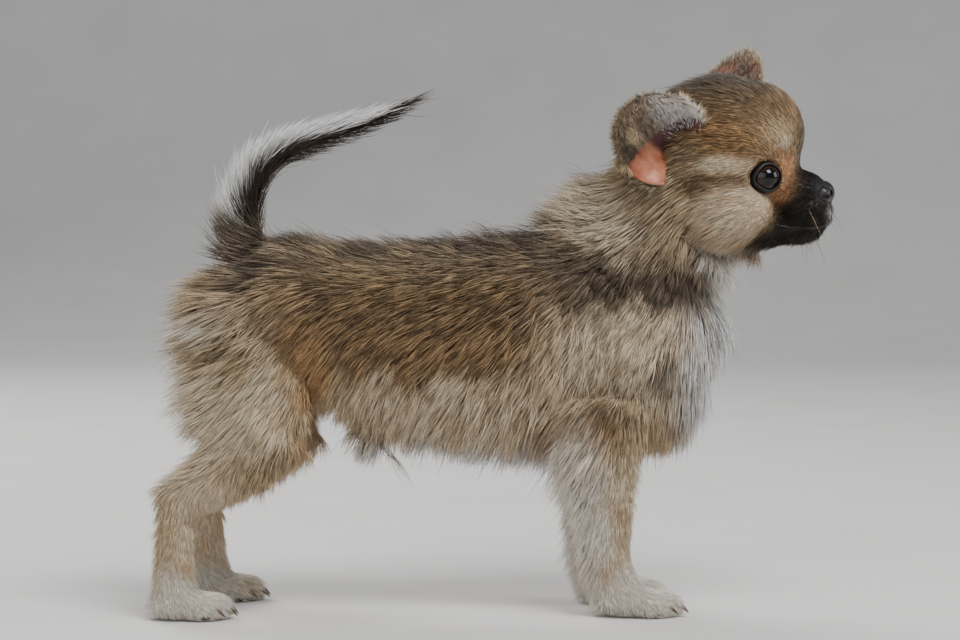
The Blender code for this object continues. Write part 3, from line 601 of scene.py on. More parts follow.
class Surface:
    """A mesh's triangles in the animal's millimetres, with its map and a search tree."""

    def __init__(self, obj):
        mesh = obj.data
        mesh.calc_loop_triangles()
        self.points = (read(mesh.vertices, "co", 3) - np.array(SHIFT)) / MM
        self.corners = read(mesh.loop_triangles, "vertices", 3, np.int32)
        loops = read(mesh.loop_triangles, "loops", 3, np.int32)
        self.uv = read(mesh.uv_layers["OFBake"].data, "uv", 2)[loops]
        self.normals = read(mesh.vertices, "normal", 3)
        a, b, c = (self.points[self.corners[:, k]] for k in range(3))
        self.areas = np.linalg.norm(np.cross(b - a, c - a), axis=1) / 2
        self.middles = (a + b + c) / 3
        self.tree = BVHTree.FromPolygons(self.points.tolist(), self.corners.tolist())

    def scatter(self, count, density, draw):
        """Places spread over the surface by density, with the normal and the map's place at each."""
        share = self.areas * density
        chosen = draw.choice(len(share), size=count, p=share / share.sum())
        s, t = np.sort(draw.random((2, count)), axis=0)
        weights = np.stack([s, t - s, 1 - t], axis=1)[:, :, None]
        places = (self.points[self.corners[chosen]] * weights).sum(1)
        normals = normalise((self.normals[self.corners[chosen]] * weights).sum(1))
        uv = (self.uv[chosen] * weights).sum(1)
        return places, normals, uv

    def nearest(self, places):
        """For each place the nearest one on the surface, its facing and its place on the map."""
        found = np.empty((len(places), 3))
        facing = np.empty((len(places), 3))
        chosen = np.empty(len(places), np.int64)
        for i, place in enumerate(np.asarray(places).tolist()):
            spot, normal, index, _ = self.tree.find_nearest(place)
            found[i] = spot
            facing[i] = normal
            chosen[i] = index
        return found, facing, self.uv[chosen].mean(1)


def guide_table():
    """All guides on both sides as rows: place, way, length, depth."""
    rows = []
    for guides, frame_of, turn in (
        (COMB, Matrix.Identity(4), Matrix.Identity(3)),
        (HEAD_COMB, HEAD_FRAME, HEAD_TURN),
    ):
        for place, way, length, depth in guides:
            for side in (-1, 1):
                spot, lie = Vector(place), Vector(way).normalized()
                spot.y *= side
                lie.y *= side
                rows.append((*(frame_of @ spot), *(turn @ lie), length, depth))
    return np.array(rows)


GUIDES = guide_table()


def comb(places):
    """The way the coat lies, the hair's length and the coat's depth at each place."""
    blend = np.empty((len(places), 5))
    for start in range(0, len(places), 20000):
        part = slice(start, start + 20000)
        away = np.linalg.norm(places[part, None] - GUIDES[None, :, :3], axis=2)
        weight = 1 / (away + 3.0) ** 4
        weight /= weight.sum(1, keepdims=True)
        blend[part] = weight @ GUIDES[:, 3:]
    return normalise(blend[:, :3]), blend[:, 3], blend[:, 4]


def head_share(places):
    """1 on the head, falling to 0 on the neck behind the ears and under the jaw."""
    line = (places[:, 0] - 62) * 0.55 + (places[:, 2] - 168) * 0.83
    return np.clip(line / 8 + 0.5, 0, 1)


def paint(places, patches, pale, dark, share, strength=1.0):
    """Lays soft-edged patches one over another on the colours so far."""
    local = places.copy()
    local[:, 1] = np.abs(local[:, 1])
    for middle, radii, soft, pale_name, dark_name, dark_share in patches:
        off = np.linalg.norm((local - np.array(middle)) / np.array(radii), axis=1)
        weight = np.clip((1 + soft - off) / (2 * soft), 0, 1)
        weight = weight * weight * (3 - 2 * weight) * strength
        pale += (COLOURS[pale_name] - pale) * weight[:, None]
        dark += (COLOURS[dark_name] - dark) * weight[:, None]
        share += (dark_share - share) * weight


def cloud(places):
    """A smooth random field between about -1 and 1, from waves 9 to 30 millimetres long."""
    draw = np.random.default_rng(SEED + 1)
    total = np.zeros(len(places))
    for _ in range(CLOUD_WAVES):
        way = normalise(draw.normal(size=3))
        wave = draw.uniform(9, 30)
        total += np.sin(places @ way * (2 * math.pi / wave) + draw.uniform(0, 2 * math.pi))
    return total / math.sqrt(CLOUD_WAVES)


def tail_outer_lit_side(places):
    """1 on the outer side of the tail's curve, 0 on its inner side."""
    path = np.array([[p[0], p[2]] for p in smooth_path(TAIL, 6)])
    ways = normalise(np.gradient(path, axis=0))
    flat = places[:, [0, 2]]
    nearest = np.linalg.norm(flat[:, None] - path[None], axis=2).argmin(1)
    away = normalise(flat - path[nearest])
    way = ways[nearest]
    return np.clip((way[:, 0] * away[:, 1] - way[:, 1] * away[:, 0]) * 1.6 + 0.75, 0, 1)


def markings_and_painted_light(places):
    """The pale hair, the dark hair and the share of dark hairs at each place, from the coat's patches and
    from the painted light and shade on the tail and the upper lip.
    """
    pale = np.zeros_like(places)
    dark = np.zeros_like(places)
    share = np.zeros(len(places))
    mottle = cloud(places)
    wander = np.stack([mottle, np.zeros(len(places)), cloud(places[:, ::-1])], axis=1) * 3.0
    paint(places + wander, BODY_PATCHES, pale, dark, share)
    on_tail = np.clip((places[:, 2] - TAIL_FROM) / 6, 0, 1) * (places[:, 0] < -20)
    # Partly painted light and shade: paler hair on the outer side of the tail's curve and darker hair on
    # its inner side, facing the back
    outer = tail_outer_lit_side(places) * np.clip((TAIL_TIP - places[:, 0]) / 8, 0, 1)
    tail_pale = COLOURS["sable"] + (COLOURS["silver"] - COLOURS["sable"]) * outer[:, None]
    tail_dark = COLOURS["black"] + (COLOURS["mouse"] - COLOURS["black"]) * outer[:, None]
    pale += (tail_pale - pale) * on_tail[:, None]
    dark += (tail_dark - dark) * on_tail[:, None]
    share += (0.75 - 0.58 * outer - share) * on_tail
    inverse = np.array(HEAD_FRAME.inverted())
    local = places @ inverse[:3, :3].T + inverse[:3, 3]
    paint(local + wander * 0.2, HEAD_PATCHES, pale, dark, share, head_share(places))
    share += 0.13 * mottle * (1 - 0.5 * head_share(places))
    return pale, dark, np.clip(share, 0.03, 0.92)


def leaders_of(places, size, draw):
    """For each place, the index of the place that leads its clump."""
    order = draw.permutation(len(places))
    cells = np.floor(places / size).astype(np.int64)
    keys = (cells[:, 0] * 73856093) ^ (cells[:, 1] * 19349663) ^ (cells[:, 2] * 83492791)
    _, first = np.unique(keys[order], return_index=True)
    leaders = order[first]
    tree = search_tree(places[leaders], leaders.tolist())
    return np.array([tree.find(place)[1] for place in places.tolist()])


def strands(surface, places, normals, stops, draw, clump_size, clump_pull):
    """Each tuft's points from a root sunk in the skin to its tip, and the skin's facing at each."""
    ways, lengths, depths = comb(places)
    count = len(places)
    stray = draw.random(count) < STRAY_SHARE
    lengths = lengths * draw.uniform(0.72, 1.15, count) * np.where(stray, 1.25, 1.0)
    depths = depths * draw.uniform(0.35, 1.15, count) * np.where(stray, 1.6, 1.0)
    lift = np.arcsin(np.clip(depths / lengths, 0.05, 0.85))
    tangent = normalise(ways - normals * (ways * normals).sum(1, keepdims=True))
    side = np.cross(normals, tangent)
    sway = (draw.normal(0, 0.13, count) * np.where(stray, 2.0, 1.0))[:, None]
    tangent = normalise(tangent + side * sway)
    least = depths * 0.45
    points = [places - normals * 0.8]
    facings = [normals]
    steep = np.minimum(lift * 1.45, 1.2)
    heading = tangent * np.cos(steep)[:, None] + normals * np.sin(steep)[:, None]
    for k in range(1, len(stops)):
        spot = points[-1] + heading * (lengths * (stops[k] - stops[k - 1]))[:, None]
        found, facing, _ = surface.nearest(spot)
        height = ((spot - found) * facing).sum(1)
        lack = np.maximum(least * stops[k] - height, 0)
        points.append(spot + facing * lack[:, None])
        facings.append(normalise(facings[-1] + facing))
        lie = comb(points[-1])[0]
        heading = normalise(heading * 0.55 + lie * 0.45 + side * draw.normal(0, 0.08, count)[:, None])
    leader = leaders_of(places, clump_size, draw)
    for k in range(1, len(stops)):
        pull = clump_pull * stops[k] ** 1.3 * np.where(stray, 0.2, 1.0)
        points[k] = points[k] + (points[k][leader] - points[k]) * pull[:, None]
    return points, facings, lengths, leader


def tuft_mesh(name, points, facings, widths, uv, colours, stops, flat=0.4):
    """Closed three-sided tapers along each tuft's points, coloured from root to tip."""
    count = len(points[0])
    inner = len(points) - 2
    taper = np.interp(stops[1:-1], [0, 0.4, 1], [0.9, 1.0, 0.45])
    rings = [points[0]]
    for k in range(1, inner + 1):
        way = normalise(points[k + 1] - points[k - 1])
        across = normalise(np.cross(way, facings[k]))
        up = np.cross(across, way)
        half = (widths / 2 * taper[k - 1])[:, None]
        rings += [
            points[k] + across * half,
            points[k] + up * half * 2 * flat,
            points[k] - across * half,
        ]
    rings.append(points[-1])
    per = 3 * inner + 2
    verts = np.stack(rings, axis=1).reshape(-1, 3)
    pattern = [(0, 1 + j, 1 + (j + 1) % 3) for j in range(3)]
    for k in range(inner - 1):
        for j in range(3):
            a, b = 1 + 3 * k + j, 1 + 3 * k + (j + 1) % 3
            pattern += [(a, b + 3, b), (a, a + 3, b + 3)]
    last = 1 + 3 * (inner - 1)
    pattern += [(last + (j + 1) % 3, last + j, per - 1) for j in range(3)]
    corners = (np.array(pattern)[None] + (np.arange(count) * per)[:, None, None]).reshape(-1)
    mesh = bpy.data.meshes.new(name)
    mesh.vertices.add(len(verts))
    mesh.vertices.foreach_set("co", metres(verts).astype(np.float32).ravel())
    mesh.loops.add(len(corners))
    mesh.loops.foreach_set("vertex_index", corners.astype(np.int32))
    mesh.polygons.add(len(corners) // 3)
    mesh.polygons.foreach_set("loop_start", np.arange(0, len(corners), 3, dtype=np.int32))
    along = np.array([stops[0]] + [stops[k] for k in range(1, inner + 1) for _ in range(3)] + [1.0])
    aside = np.array([0.0] + [(-1.0, 0.0, 1.0)[j] for _ in range(inner) for j in range(3)] + [0.0])
    patch = np.stack([aside, along * 2 - 1], axis=1) * PATCH
    vert_uv = (uv[:, None] + patch[None]).reshape(-1, 2)
    layer = mesh.uv_layers.new(name="OFBake")
    layer.data.foreach_set("uv", vert_uv[corners].astype(np.float32).ravel())
    root, middle, tip = (c[:, None] for c in colours)
    share = along[None, :, None]
    low = np.clip(share / 0.45, 0, 1)
    high = np.clip((share - 0.45) / 0.55, 0, 1)
    mixed = root + (middle - root) * low + (tip - middle) * high
    write_colours(mesh, "coat", mixed.reshape(-1, 3))
    mesh.update(calc_edges=True)
    mesh.shade_smooth()
    obj = bpy.data.objects.new(name, mesh)
    bpy.context.scene.collection.objects.link(obj)
    return obj


def hair_width(lengths):
    return WIDTH_BASE + WIDTH_PER_LENGTH * lengths


def hair_colours(colour_at, leader, draw):
    """Root, middle and tip colours, so that dark hairs run together in streaks."""
    pale, dark, share = colour_at
    count = len(share)
    streak = draw.random(count)[leader] * 0.5 + draw.random(count) * 0.5
    is_dark = np.clip((share - streak) * 7 + 0.5, 0, 1)[:, None]
    tone = (draw.uniform(0.80, 1.12, count) * draw.uniform(0.86, 1.1, count)[leader])[:, None]
    middle = (pale * (1 - 0.45 * is_dark) + dark * 0.45 * is_dark) * tone
    tip = (pale * 1.04 * (1 - is_dark) + dark * is_dark) * tone
    # The root is darker, partly for the greyer undercoat and partly as painted shade deep in the coat
    root = (pale * 0.35 + dark * 0.35) * tone
    return root, middle, tip


def region_of(places):
    """The piece of the coat that each root belongs to."""
    x, y, z = places.T
    side = np.where(y > 0, "left", "right")
    names = np.char.add(np.where(z < 112, "flank_", "back_"), side).astype("<U16")
    rear = x < -60
    names[rear] = np.char.add("thigh_", side)[rear]
    names[(x > 20) & (z > 60)] = "chest"
    names[(x > 20) & (z > 130)] = "neck"
    low_fore, low_hind = (z < 58) & (x > 20), (z < 58) & rear
    names[low_fore] = np.char.add("foreleg_", side)[low_fore]
    names[low_hind] = np.char.add("hindleg_", side)[low_hind]
    names[(z > 152) & (x < -20)] = "tail"
    on_head = head_share(places) > 0.5
    names[on_head] = np.char.add("head_", side)[on_head]
    return names


def clear_of_eyes(points):
    """Which tufts stay off the open part of the eyes."""
    fine = np.ones(len(points[0]), bool)
    samples = list(points) + [(a + b) / 2 for a, b in zip(points[:-1], points[1:])]
    for side in (-1, 1):
        centre, gaze, _, _ = eye_axes(side)
        for point in samples:
            away = point - np.array(centre)
            far = np.linalg.norm(away, axis=1)
            ahead = (away @ np.array(gaze)) / np.maximum(far, 1e-6)
            fine &= ~((far < EYE_RADIUS + 5) & (ahead > math.cos(math.radians(EYE_CLEARING))))
            fine &= far > EYE_RADIUS + 0.3
    return fine


def clear_of_nose(points):
    """Which tufts stay off the bare leather of the nose."""
    centre = np.array(head_place(NOSE_PLACE))
    inverse = np.array(HEAD_TURN.inverted())
    fine = np.ones(len(points[0]), bool)
    for point in points:
        local = (point - centre) @ inverse.T / (np.array(NOSE_RADII) + 0.4)
        fine &= np.linalg.norm(local, axis=1) > 1
    return fine


def clear_of_lips(roots, lips):
    """Which tufts aren't rooted on the dark edge of the mouth."""
    tree = search_tree(lips, range(len(lips)))
    return np.array([tree.find(root)[2] > 1.0 for root in roots.tolist()])


def grow_coat(surface, lips, material):
    """All the tufts of body and head, in pieces by region."""
    draw = np.random.default_rng(SEED)
    length_at = comb(surface.middles)[1]
    cover = np.interp(length_at, [2.5, 6, 12, 20], [2.4, 2.7, 4.3, 5.4])
    cover = cover * (1 + 0.35 * head_share(surface.middles))
    density = cover / (length_at * hair_width(length_at)) * COAT_SCALE
    total = int((surface.areas * density).sum())
    places, normals, uv = surface.scatter(total, density, draw)
    rooted = (places[:, 2] > 1.0) & clear_of_lips(places, lips)
    places, normals, uv = places[rooted], normals[rooted], uv[rooted]
    hair_length = comb(places)[1]
    pieces = []
    for long_hair in (False, True):
        group = (hair_length > LONG_FROM) == long_hair
        spots, ups, maps = places[group], normals[group], uv[group]
        stops, size, pull = LONG_TUFT if long_hair else SHORT_TUFT
        points, facings, lengths, leader = strands(surface, spots, ups, stops, draw, size, pull)
        for point in points:
            point[:, 2] = np.maximum(point[:, 2], 0.3)
        colours = hair_colours(markings_and_painted_light(spots), leader, draw)
        widths = hair_width(lengths) * draw.uniform(0.8, 1.25, len(spots))
        regions = region_of(spots)
        fine = clear_of_eyes(points) & clear_of_nose(points)
        for region in sorted(set(regions.tolist())):
            here = (regions == region) & fine
            piece = tuft_mesh(
                f"coat_{region}_{'long' if long_hair else 'short'}",
                [p[here] for p in points],
                [f[here] for f in facings],
                widths[here],
                maps[here],
                [c[here] for c in colours],
                stops,
            )
            dress(piece, material)
            pieces.append(piece)
    return pieces


def ear_axes(ear):
    """The ways on an ear's sheet, forwards, up and out of its cup, and which hand they make."""
    up = Vector(ear["up"]).normalized()
    out = Vector(ear["out"])
    out = (out - up * out.dot(up)).normalized()
    front = up.cross(out)
    hand = 1 if front.x > 0 else -1
    return np.array(front * hand), np.array(up), np.array(out), hand


def ear_sheet(ear, u, v):
    """Points of the ear's sheet: u from the rear rim, -1, to the front one, 1; v from the base, 0,
    to the crest, 1, over the fold to FLAP_FROM and down the flap to its free edge, 2."""
    front, up, out, _ = ear_axes(ear)
    low, height, square = ear["crest"]
    size = np.abs(u)
    rear_base, front_base = ear["base"]
    side = (u + 1) / 2
    base_a = rear_base[0] + (front_base[0] - rear_base[0]) * side
    base_b = rear_base[1] + (front_base[1] - rear_base[1]) * side
    crest_b = low + height * (1 - size**square)
    t = np.clip(v, 0, 1)
    a = base_a + (ear["reach"] * u - base_a) * t**0.75 + np.sign(u) * size**3 * 10 * t * (1 - t)
    b = base_b + (crest_b - base_b) * t
    rise = np.where(u > 0, ear["cup"][1], ear["cup"][0]) * (1 - t) ** 0.9 * size**2.2
    rise = rise + 0.3 - 3.0 * (1 - t) ** 3 * (1 - size)
    if ear["flap"]:
        edge, rear_droop, front_droop = ear["flap"]
        turn = np.clip((v - 1) / (FLAP_FROM - 1), 0, 1) * math.pi
        share = np.clip((v - FLAP_FROM) / (2 - FLAP_FROM), 0, 1)
        down = share * (crest_b - edge + np.where(u > 0, front_droop, rear_droop) * size**2)
        b = b + FOLD_RADIUS * np.sin(turn) - down * math.cos(FOLD_TILT)
        rise = rise + FOLD_RADIUS * (1 - np.cos(turn)) + down * math.sin(FOLD_TILT)
        rise = rise + 2.0 * np.sin(share * math.pi) * (1 - size**2)
        a = a * (1 - 0.012 * down)
    points = a[..., None] * front + b[..., None] * up + rise[..., None] * out
    points = points + np.array(ear["root"])
    return points @ np.array(HEAD_TURN).T + np.array(SKULL)


def make_ear(side, ear, materials):
    """The ear's leather: a grid bent to the sheet, given thickness and smoothed."""
    bpy.ops.object.select_all(action="DESELECT")
    bpy.ops.mesh.primitive_grid_add(x_subdivisions=24, y_subdivisions=40, size=2)
    piece = bpy.context.object
    flat = np.array([v.co[:] for v in piece.data.vertices])
    last = 2.0 if ear["flap"] else 1.0
    u, v = flat[:, 0], (flat[:, 1] + 1) / 2 * last
    points = metres(ear_sheet(ear, u, v))
    for vert, point in zip(piece.data.vertices, points):
        vert.co = point
    # Painted shade: the pink skin darkens to a deep red over the front of the cup below the crest, where
    # the canal lies in shade
    canal_shade = np.clip((u + 0.35) / 0.15, 0, 1) * np.clip((1.02 - v) / 0.15, 0, 1)
    flush_and_shade = COLOURS["rose"] + (COLOURS["canal_shade_red"] - COLOURS["rose"]) * canal_shade[:, None]
    write_colours(piece.data, "flush_and_shade", flush_and_shade)
    piece = join([piece], f"ear_{side}_leather")
    dress(piece, *materials)
    rind = {"thickness": EAR_THICKNESS * MM, "material_offset": 1, "material_offset_rim": 1}
    modify(piece, "SOLIDIFY", offset=0.0, **rind)
    modify(piece, "SUBSURF", levels=1, render_levels=1)
    unwrap(piece)
    piece.data.shade_smooth()
    return piece


def ear_hair(side, ear, leather, material):
    """Hair on the back of the ear, a fringe on its rims and some pale hairs inside the cup."""
    draw = np.random.default_rng(SEED + (11 if ear["flap"] else 12))
    last = 2.0 if ear["flap"] else 1.0
    count = EAR_HAIRS[side]
    u = draw.uniform(-1, 1, count)
    v = draw.uniform(0.1, last, count)
    rim = draw.random(count) < 0.18
    u = np.where(rim, np.sign(u) * draw.uniform(0.93, 1.0, count), u)
    inside = (draw.random(count) < 0.08) & (v < 0.9)
    u = np.where(inside, draw.uniform(0.2, 1.0, count), u)
    step = 0.01
    hand = ear_axes(ear)[3]
    here = ear_sheet(ear, u, v)
    along = normalise(ear_sheet(ear, u, np.minimum(v + step, last)) - ear_sheet(ear, u, v - step))
    across = ear_sheet(ear, np.minimum(u + step, 1), v) - ear_sheet(ear, np.maximum(u - step, -1), v)
    across = normalise(across)
    back = -normalise(np.cross(across, along)) * hand
    back = np.where(inside[:, None], -back, back)
    outward = across * np.sign(u)[:, None]
    if ear["flap"]:
        top = np.clip(1 - np.abs(v - 1.2) / 0.25, 0, 1)
    else:
        top = np.clip((v - 0.85) / 0.15, 0, 1)
    way = along + outward * (np.abs(u) ** 3)[:, None] * 0.9 + draw.normal(0, 0.16, (count, 3))
    lengths = 3.8 + 2.2 * np.clip(1 - v, 0, 1) + 1.3 * rim + 1.0 * top
    lengths = lengths * draw.uniform(0.7, 1.2, count)
    lift = 0.26 + 0.30 * top + 0.10 * rim
    way = normalise(normalise(way) + back * lift[:, None])
    root = here + back * (EAR_THICKNESS / 2 - 0.4)
    tip_way = normalise(way + back * 0.05 + np.array([-0.15, 0, -0.30]))
    points = [root, root + way * (lengths * 0.45)[:, None]]
    points.append(points[1] + tip_way * (lengths * 0.55)[:, None])
    leader = leaders_of(root, 1.8, draw)
    for k, pull in ((1, 0.12), (2, 0.35)):
        points[k] = points[k] + (points[k][leader] - points[k]) * pull
    fringe = np.clip(rim + top * 0.6, 0, 1)[:, None]
    pale = COLOURS["mouse"] + (COLOURS["sand"] - COLOURS["mouse"]) * fringe
    dark = np.repeat(COLOURS["umber"][None], count, 0)
    share = 0.42 - 0.15 * fringe[:, 0]
    if ear["flap"]:
        front_side = np.clip((u - 0.1) / 0.5, 0, 1) * (v > 1.1)
        pale = pale + (COLOURS["silver"] - pale) * (front_side * 0.6)[:, None]
        gold = np.exp(-(((u + 0.38) / 0.16) ** 2 + ((v - 1.62) / 0.20) ** 2))
        pale = pale + (COLOURS["sand"] * 1.15 - pale) * gold[:, None]
        # Painted shade: more dark hairs along the crease between the rear rim and the folded flap
        crease_shade = np.exp(-(((u + 0.68) / 0.10) ** 2)) * (v > 1.25)
        under = np.clip((-u - 0.6) / 0.2, 0, 1) * (v < 0.8)
        share = share + 0.5 * crease_shade + 0.5 * under - 0.35 * gold - 0.15 * front_side
    pale = np.where(inside[:, None], COLOURS["silver"], pale)
    share = np.where(inside, 0.05, share)
    colours = hair_colours((pale, dark, np.clip(share, 0.03, 0.95)), leader, draw)
    widths = hair_width(lengths) * draw.uniform(0.8, 1.25, count)
    uv = Surface(leather).nearest(root)[2]
    piece = tuft_mesh(f"ear_{side}_hair", points, [back] * 3, widths, uv, colours, (0, 0.45, 1))
    dress(piece, material)
    return piece


def eye_axes(side):
    """The eye's middle and its own ways: along the gaze, level towards the nose, and up."""
    centre = head_place((EYE_PLACE[0], side * EYE_PLACE[1], EYE_PLACE[2]))
    gaze = (HEAD_TURN @ Vector((EYE_GAZE[0], side * EYE_GAZE[1], EYE_GAZE[2]))).normalized()
    ahead = HEAD_TURN @ Vector((1, 0, 0))
    level = (ahead - gaze * ahead.dot(gaze)).normalized()
    up = gaze.cross(level) * -side
    return centre, gaze, level, up


def make_eye(side, word, material):
    """The eyeball, with its pole along the gaze and a slightly raised cornea."""
    centre, gaze, level, up = eye_axes(side)
    piece = join([ball((0, 0, 0), (EYE_RADIUS,) * 3, (0, 0, 0), 48, 32)], f"eyeball_{word}")
    turn = Matrix((level, up, gaze)).transposed()
    for vert in piece.data.vertices:
        local = (vert.co - SHIFT).normalized()
        polar = math.acos(max(-1.0, min(1.0, local.z)))
        swell = 0.55 * math.cos(min(polar / 0.75, 1) * math.pi / 2)
        vert.co = metres(centre + turn @ local * (EYE_RADIUS + swell))
    face_outwards(piece)
    piece.data.shade_smooth()
    dress(piece, material)
    return piece


def make_lids(side, word, material):
    """A leathery rim on the eyeball, with an almond opening whose corners are drawn out."""
    centre, gaze, level, up = eye_axes(side)
    bpy.ops.object.select_all(action="DESELECT")
    bpy.ops.mesh.primitive_grid_add(x_subdivisions=48, y_subdivisions=8, size=2)
    piece = bpy.context.object
    radius = EYE_RADIUS + LID_GAP + LID_THICKNESS / 2
    for vert in piece.data.vertices:
        turn = vert.co.x * math.pi
        share = (vert.co.y + 1) / 2
        rear = max(0.0, math.cos(turn - math.radians(193))) ** 8
        inner = max(0.0, math.cos(turn - math.radians(12))) ** 8
        opening = math.radians(LID_OPENING + 3 * abs(math.sin(turn)) ** 2 + 15 * rear + 10 * inner)
        polar = opening + (math.radians(100) - opening) * share
        swell = 0.35 * math.sin(min(share * 3, 1) * math.pi)
        side_way = level * math.cos(turn) + up * math.sin(turn)
        spot = side_way * math.sin(polar) + gaze * math.cos(polar)
        vert.co = metres(centre + spot * (radius + swell - 0.8 * share))
    piece = join([piece], f"lids_{word}")
    face_outwards(piece)
    modify(piece, "SOLIDIFY", thickness=LID_THICKNESS * MM, offset=0.0)
    modify(piece, "SUBSURF", levels=1, render_levels=1)
    piece.data.shade_smooth()
    dress(piece, material)
    return piece


def make_nose(material):
    """The nose leather, with comma-shaped nostrils open to the side and the groove between them."""
    yaw = math.radians(HEAD_YAW)
    turn = (0, 0, yaw)
    nose = head_ball(NOSE_PLACE, (NOSE_RADII[0], 5.8, NOSE_RADII[2]), turn, 40, 28)
    bridge = head_ball((37.8, 0, -15.0), (4.2, 5.4, 3.6), turn, 32, 20)
    lower = head_ball((40.4, 0, -19.6), (3.0, 2.8, 3.8), turn, 32, 20)
    wings = [head_ball((40.4, s * 4.4, -17.0), (3.3, 3.0, 3.4), turn, 32, 20) for s in (-1, 1)]
    piece = join([nose, bridge, lower, *wings], "nose_pad")
    modify(piece, "REMESH", mode="VOXEL", voxel_size=0.32 * MM, adaptivity=0.0)
    modify(piece, "SMOOTH", factor=0.5, iterations=4)
    for s in (-1, 1):
        tilt = (0, math.radians(18), yaw + s * math.radians(24))
        carve(piece, head_ball((43.5, s * 3.2, -16.6), (2.4, 1.25, 1.45), tilt, 24, 16))
        slit = (0, math.radians(-8), yaw - s * math.radians(38))
        carve(piece, head_ball((42.5, s * 5.9, -17.6), (2.7, 1.0, 0.6), slit, 24, 16))
    carve(piece, head_ball((44.8, 0, -20.0), (1.6, 0.3, 4.2), turn, 20, 12))
    modify(piece, "REMESH", mode="VOXEL", voxel_size=0.26 * MM, adaptivity=0.0)
    modify(piece, "SMOOTH", factor=0.4, iterations=2)
    piece.data.shade_smooth()
    dress(piece, material)
    return piece


def tube(points, radii, name):
    """A round tube along points, made as a bevelled curve and turned into a mesh."""
    curve = bpy.data.curves.new(name, "CURVE")
    curve.dimensions = "3D"
    curve.bevel_depth = 1.0
    curve.bevel_resolution = 3
    curve.use_fill_caps = True
    spline = curve.splines.new("POLY")
    spline.points.add(len(points) - 1)
    for spot, point, radius in zip(spline.points, points, radii):
        spot.co = (*metres(point), 1)
        spot.radius = radius * MM
    obj = bpy.data.objects.new(name, curve)
    bpy.context.scene.collection.objects.link(obj)
    select_only(obj)
    bpy.ops.object.convert(target="MESH")
    return bpy.context.object


def lip_paths(surface):
    """The mouth's edge to the right and left and the groove above it, laid on the skin."""
    paths = []
    for s in (-1, 1):
        path = smooth_path([(x, s * y, z) for x, y, z in MOUTH], 6)
        paths.append(np.array([head_place(p) for p in path]))
    paths.append(np.array([head_place(p) for p in smooth_path(PHILTRUM, 4)]))
    laid = []
    for path in paths:
        found, facing, _ = surface.nearest(path)
        laid.append(found + facing * 0.15)
    return laid


def make_lips(paths, material):
    """The dark edge of the mouth and the groove under the nose."""
    parts = []
    for path, wide, narrow in zip(paths, (0.75, 0.75, 0.45), (0.35, 0.35, 0.45)):
        parts.append(tube(path, np.linspace(wide, narrow, len(path)), "lip"))
    piece = join(parts, "lips")
    piece.data.shade_smooth()
    dress(piece, material)
    return piece


def make_claws(material):
    """Four small curved claws on each paw."""
    parts = []
    for x, y in paw_places():
        for ahead, aside in TOES:
            root = Vector((x + ahead + 5.6, y + aside, 5.2))
            points = [root + Vector((2.2 * t, 0, -1.0 * t - 0.42 * t * t)) for t in (0, 0.5, 1, 1.5, 2.0)]
            parts.append(tube(points, (0.95, 0.9, 0.72, 0.45, 0.12), "claw"))
    piece = join(parts, "claws")
    piece.data.shade_smooth()
    dress(piece, material)
    return piece


def make_pads(material):
    """The bare pads under the paws."""
    parts = []
    for x, y in paw_places():
        for ahead, aside in TOES:
            parts.append(ball((x + ahead + 1.5, y + aside, 1.7), (3.4, 2.5, 1.5), (0, 0, 0), 20, 12))
        parts.append(ball((x - 2, y, 1.8), (5.2, 6.0, 1.6), (0, 0, 0), 24, 14))
    piece = join(parts, "paw_pads")
    modify(piece, "REMESH", mode="VOXEL", voxel_size=0.5 * MM, adaptivity=0.0)
    piece.data.shade_smooth()
    dress(piece, material)
    return piece


def long_hairs(name, rows, surface, material, draw, width):
    """Single long hairs from rows of root, way, length, droop and colour."""
    stops = (0, 0.25, 0.5, 0.75, 1)
    roots, _, uv = surface.nearest([r[0] for r in rows])
    ways = normalise(np.array([r[1] for r in rows]))
    lengths = np.array([r[2] for r in rows])
    droop = np.array([r[3] for r in rows])
    colour = np.array([COLOURS[r[4]] for r in rows])
    points = []
    for s in stops:
        fall = np.zeros_like(roots)
        fall[:, 2] = -droop * s * s
        points.append(roots + ways * (lengths * s - 0.5)[:, None] + fall)
    facing = normalise(np.cross(ways, np.array([0.3, 0.9, 0.2])))
    widths = np.full(len(rows), width) * draw.uniform(0.8, 1.2, len(rows))
    piece = tuft_mesh(name, points, [facing] * 5, widths, uv, (colour, colour, colour), stops, 0.85)
    dress(piece, material)
    return piece


def make_whiskers(surface, material):
    """Whiskers on the lips, brows, cheeks and chin."""
    draw = np.random.default_rng(SEED + 21)
    # How many, middle and spread of the roots, way, length, droop
    sets = (
        (5, (37, 9, -23), (3, 1, 2.5), (0.62, 0.36, -0.60), (10, 16), 2),
        (4, (34, 6, -33), (3, 2, 1), (0.40, 0.25, -0.90), (9, 15), 1),
        (2, (23, 12, 4), (1.5, 1.5, 1), (0.45, 0.30, 0.80), (8, 12), 1),
        (2, (12, 24, -27), (2, 1, 1), (-0.30, 0.60, -0.60), (10, 14), 2),
    )
    rows = []
    for s in (-1, 1):
        for count, place, spread, way, length, droop in sets:
            for _ in range(count):
                spot = Vector([place[k] + draw.uniform(-1, 1) * spread[k] for k in range(3)])
                heading = Vector([way[k] + draw.normal(0, 0.16) for k in range(3)])
                spot.y *= s
                heading.y *= s
                colour = "sand" if draw.random() < 0.5 else "umber"
                rows.append((head_place(spot), HEAD_TURN @ heading, draw.uniform(*length), droop, colour))
    return long_hairs("whiskers", rows, surface, material, draw, WHISKER_WIDTH)


def make_belly_wisp(surface, material):
    """The thin wisp of hair that hangs from under the belly."""
    draw = np.random.default_rng(SEED + 22)
    rows = []
    for _ in range(WISP_HAIRS):
        root = np.array([-45.0, 0, 66.0]) + draw.normal(0, 1.1, 3)
        way = np.array([0.62, 0, -0.50]) + draw.normal(0, 0.09, 3)
        rows.append((root, way, draw.uniform(13, 22), draw.uniform(4, 9), "mouse"))
    return long_hairs("belly_wisp", rows, surface, material, draw, WISP_WIDTH)


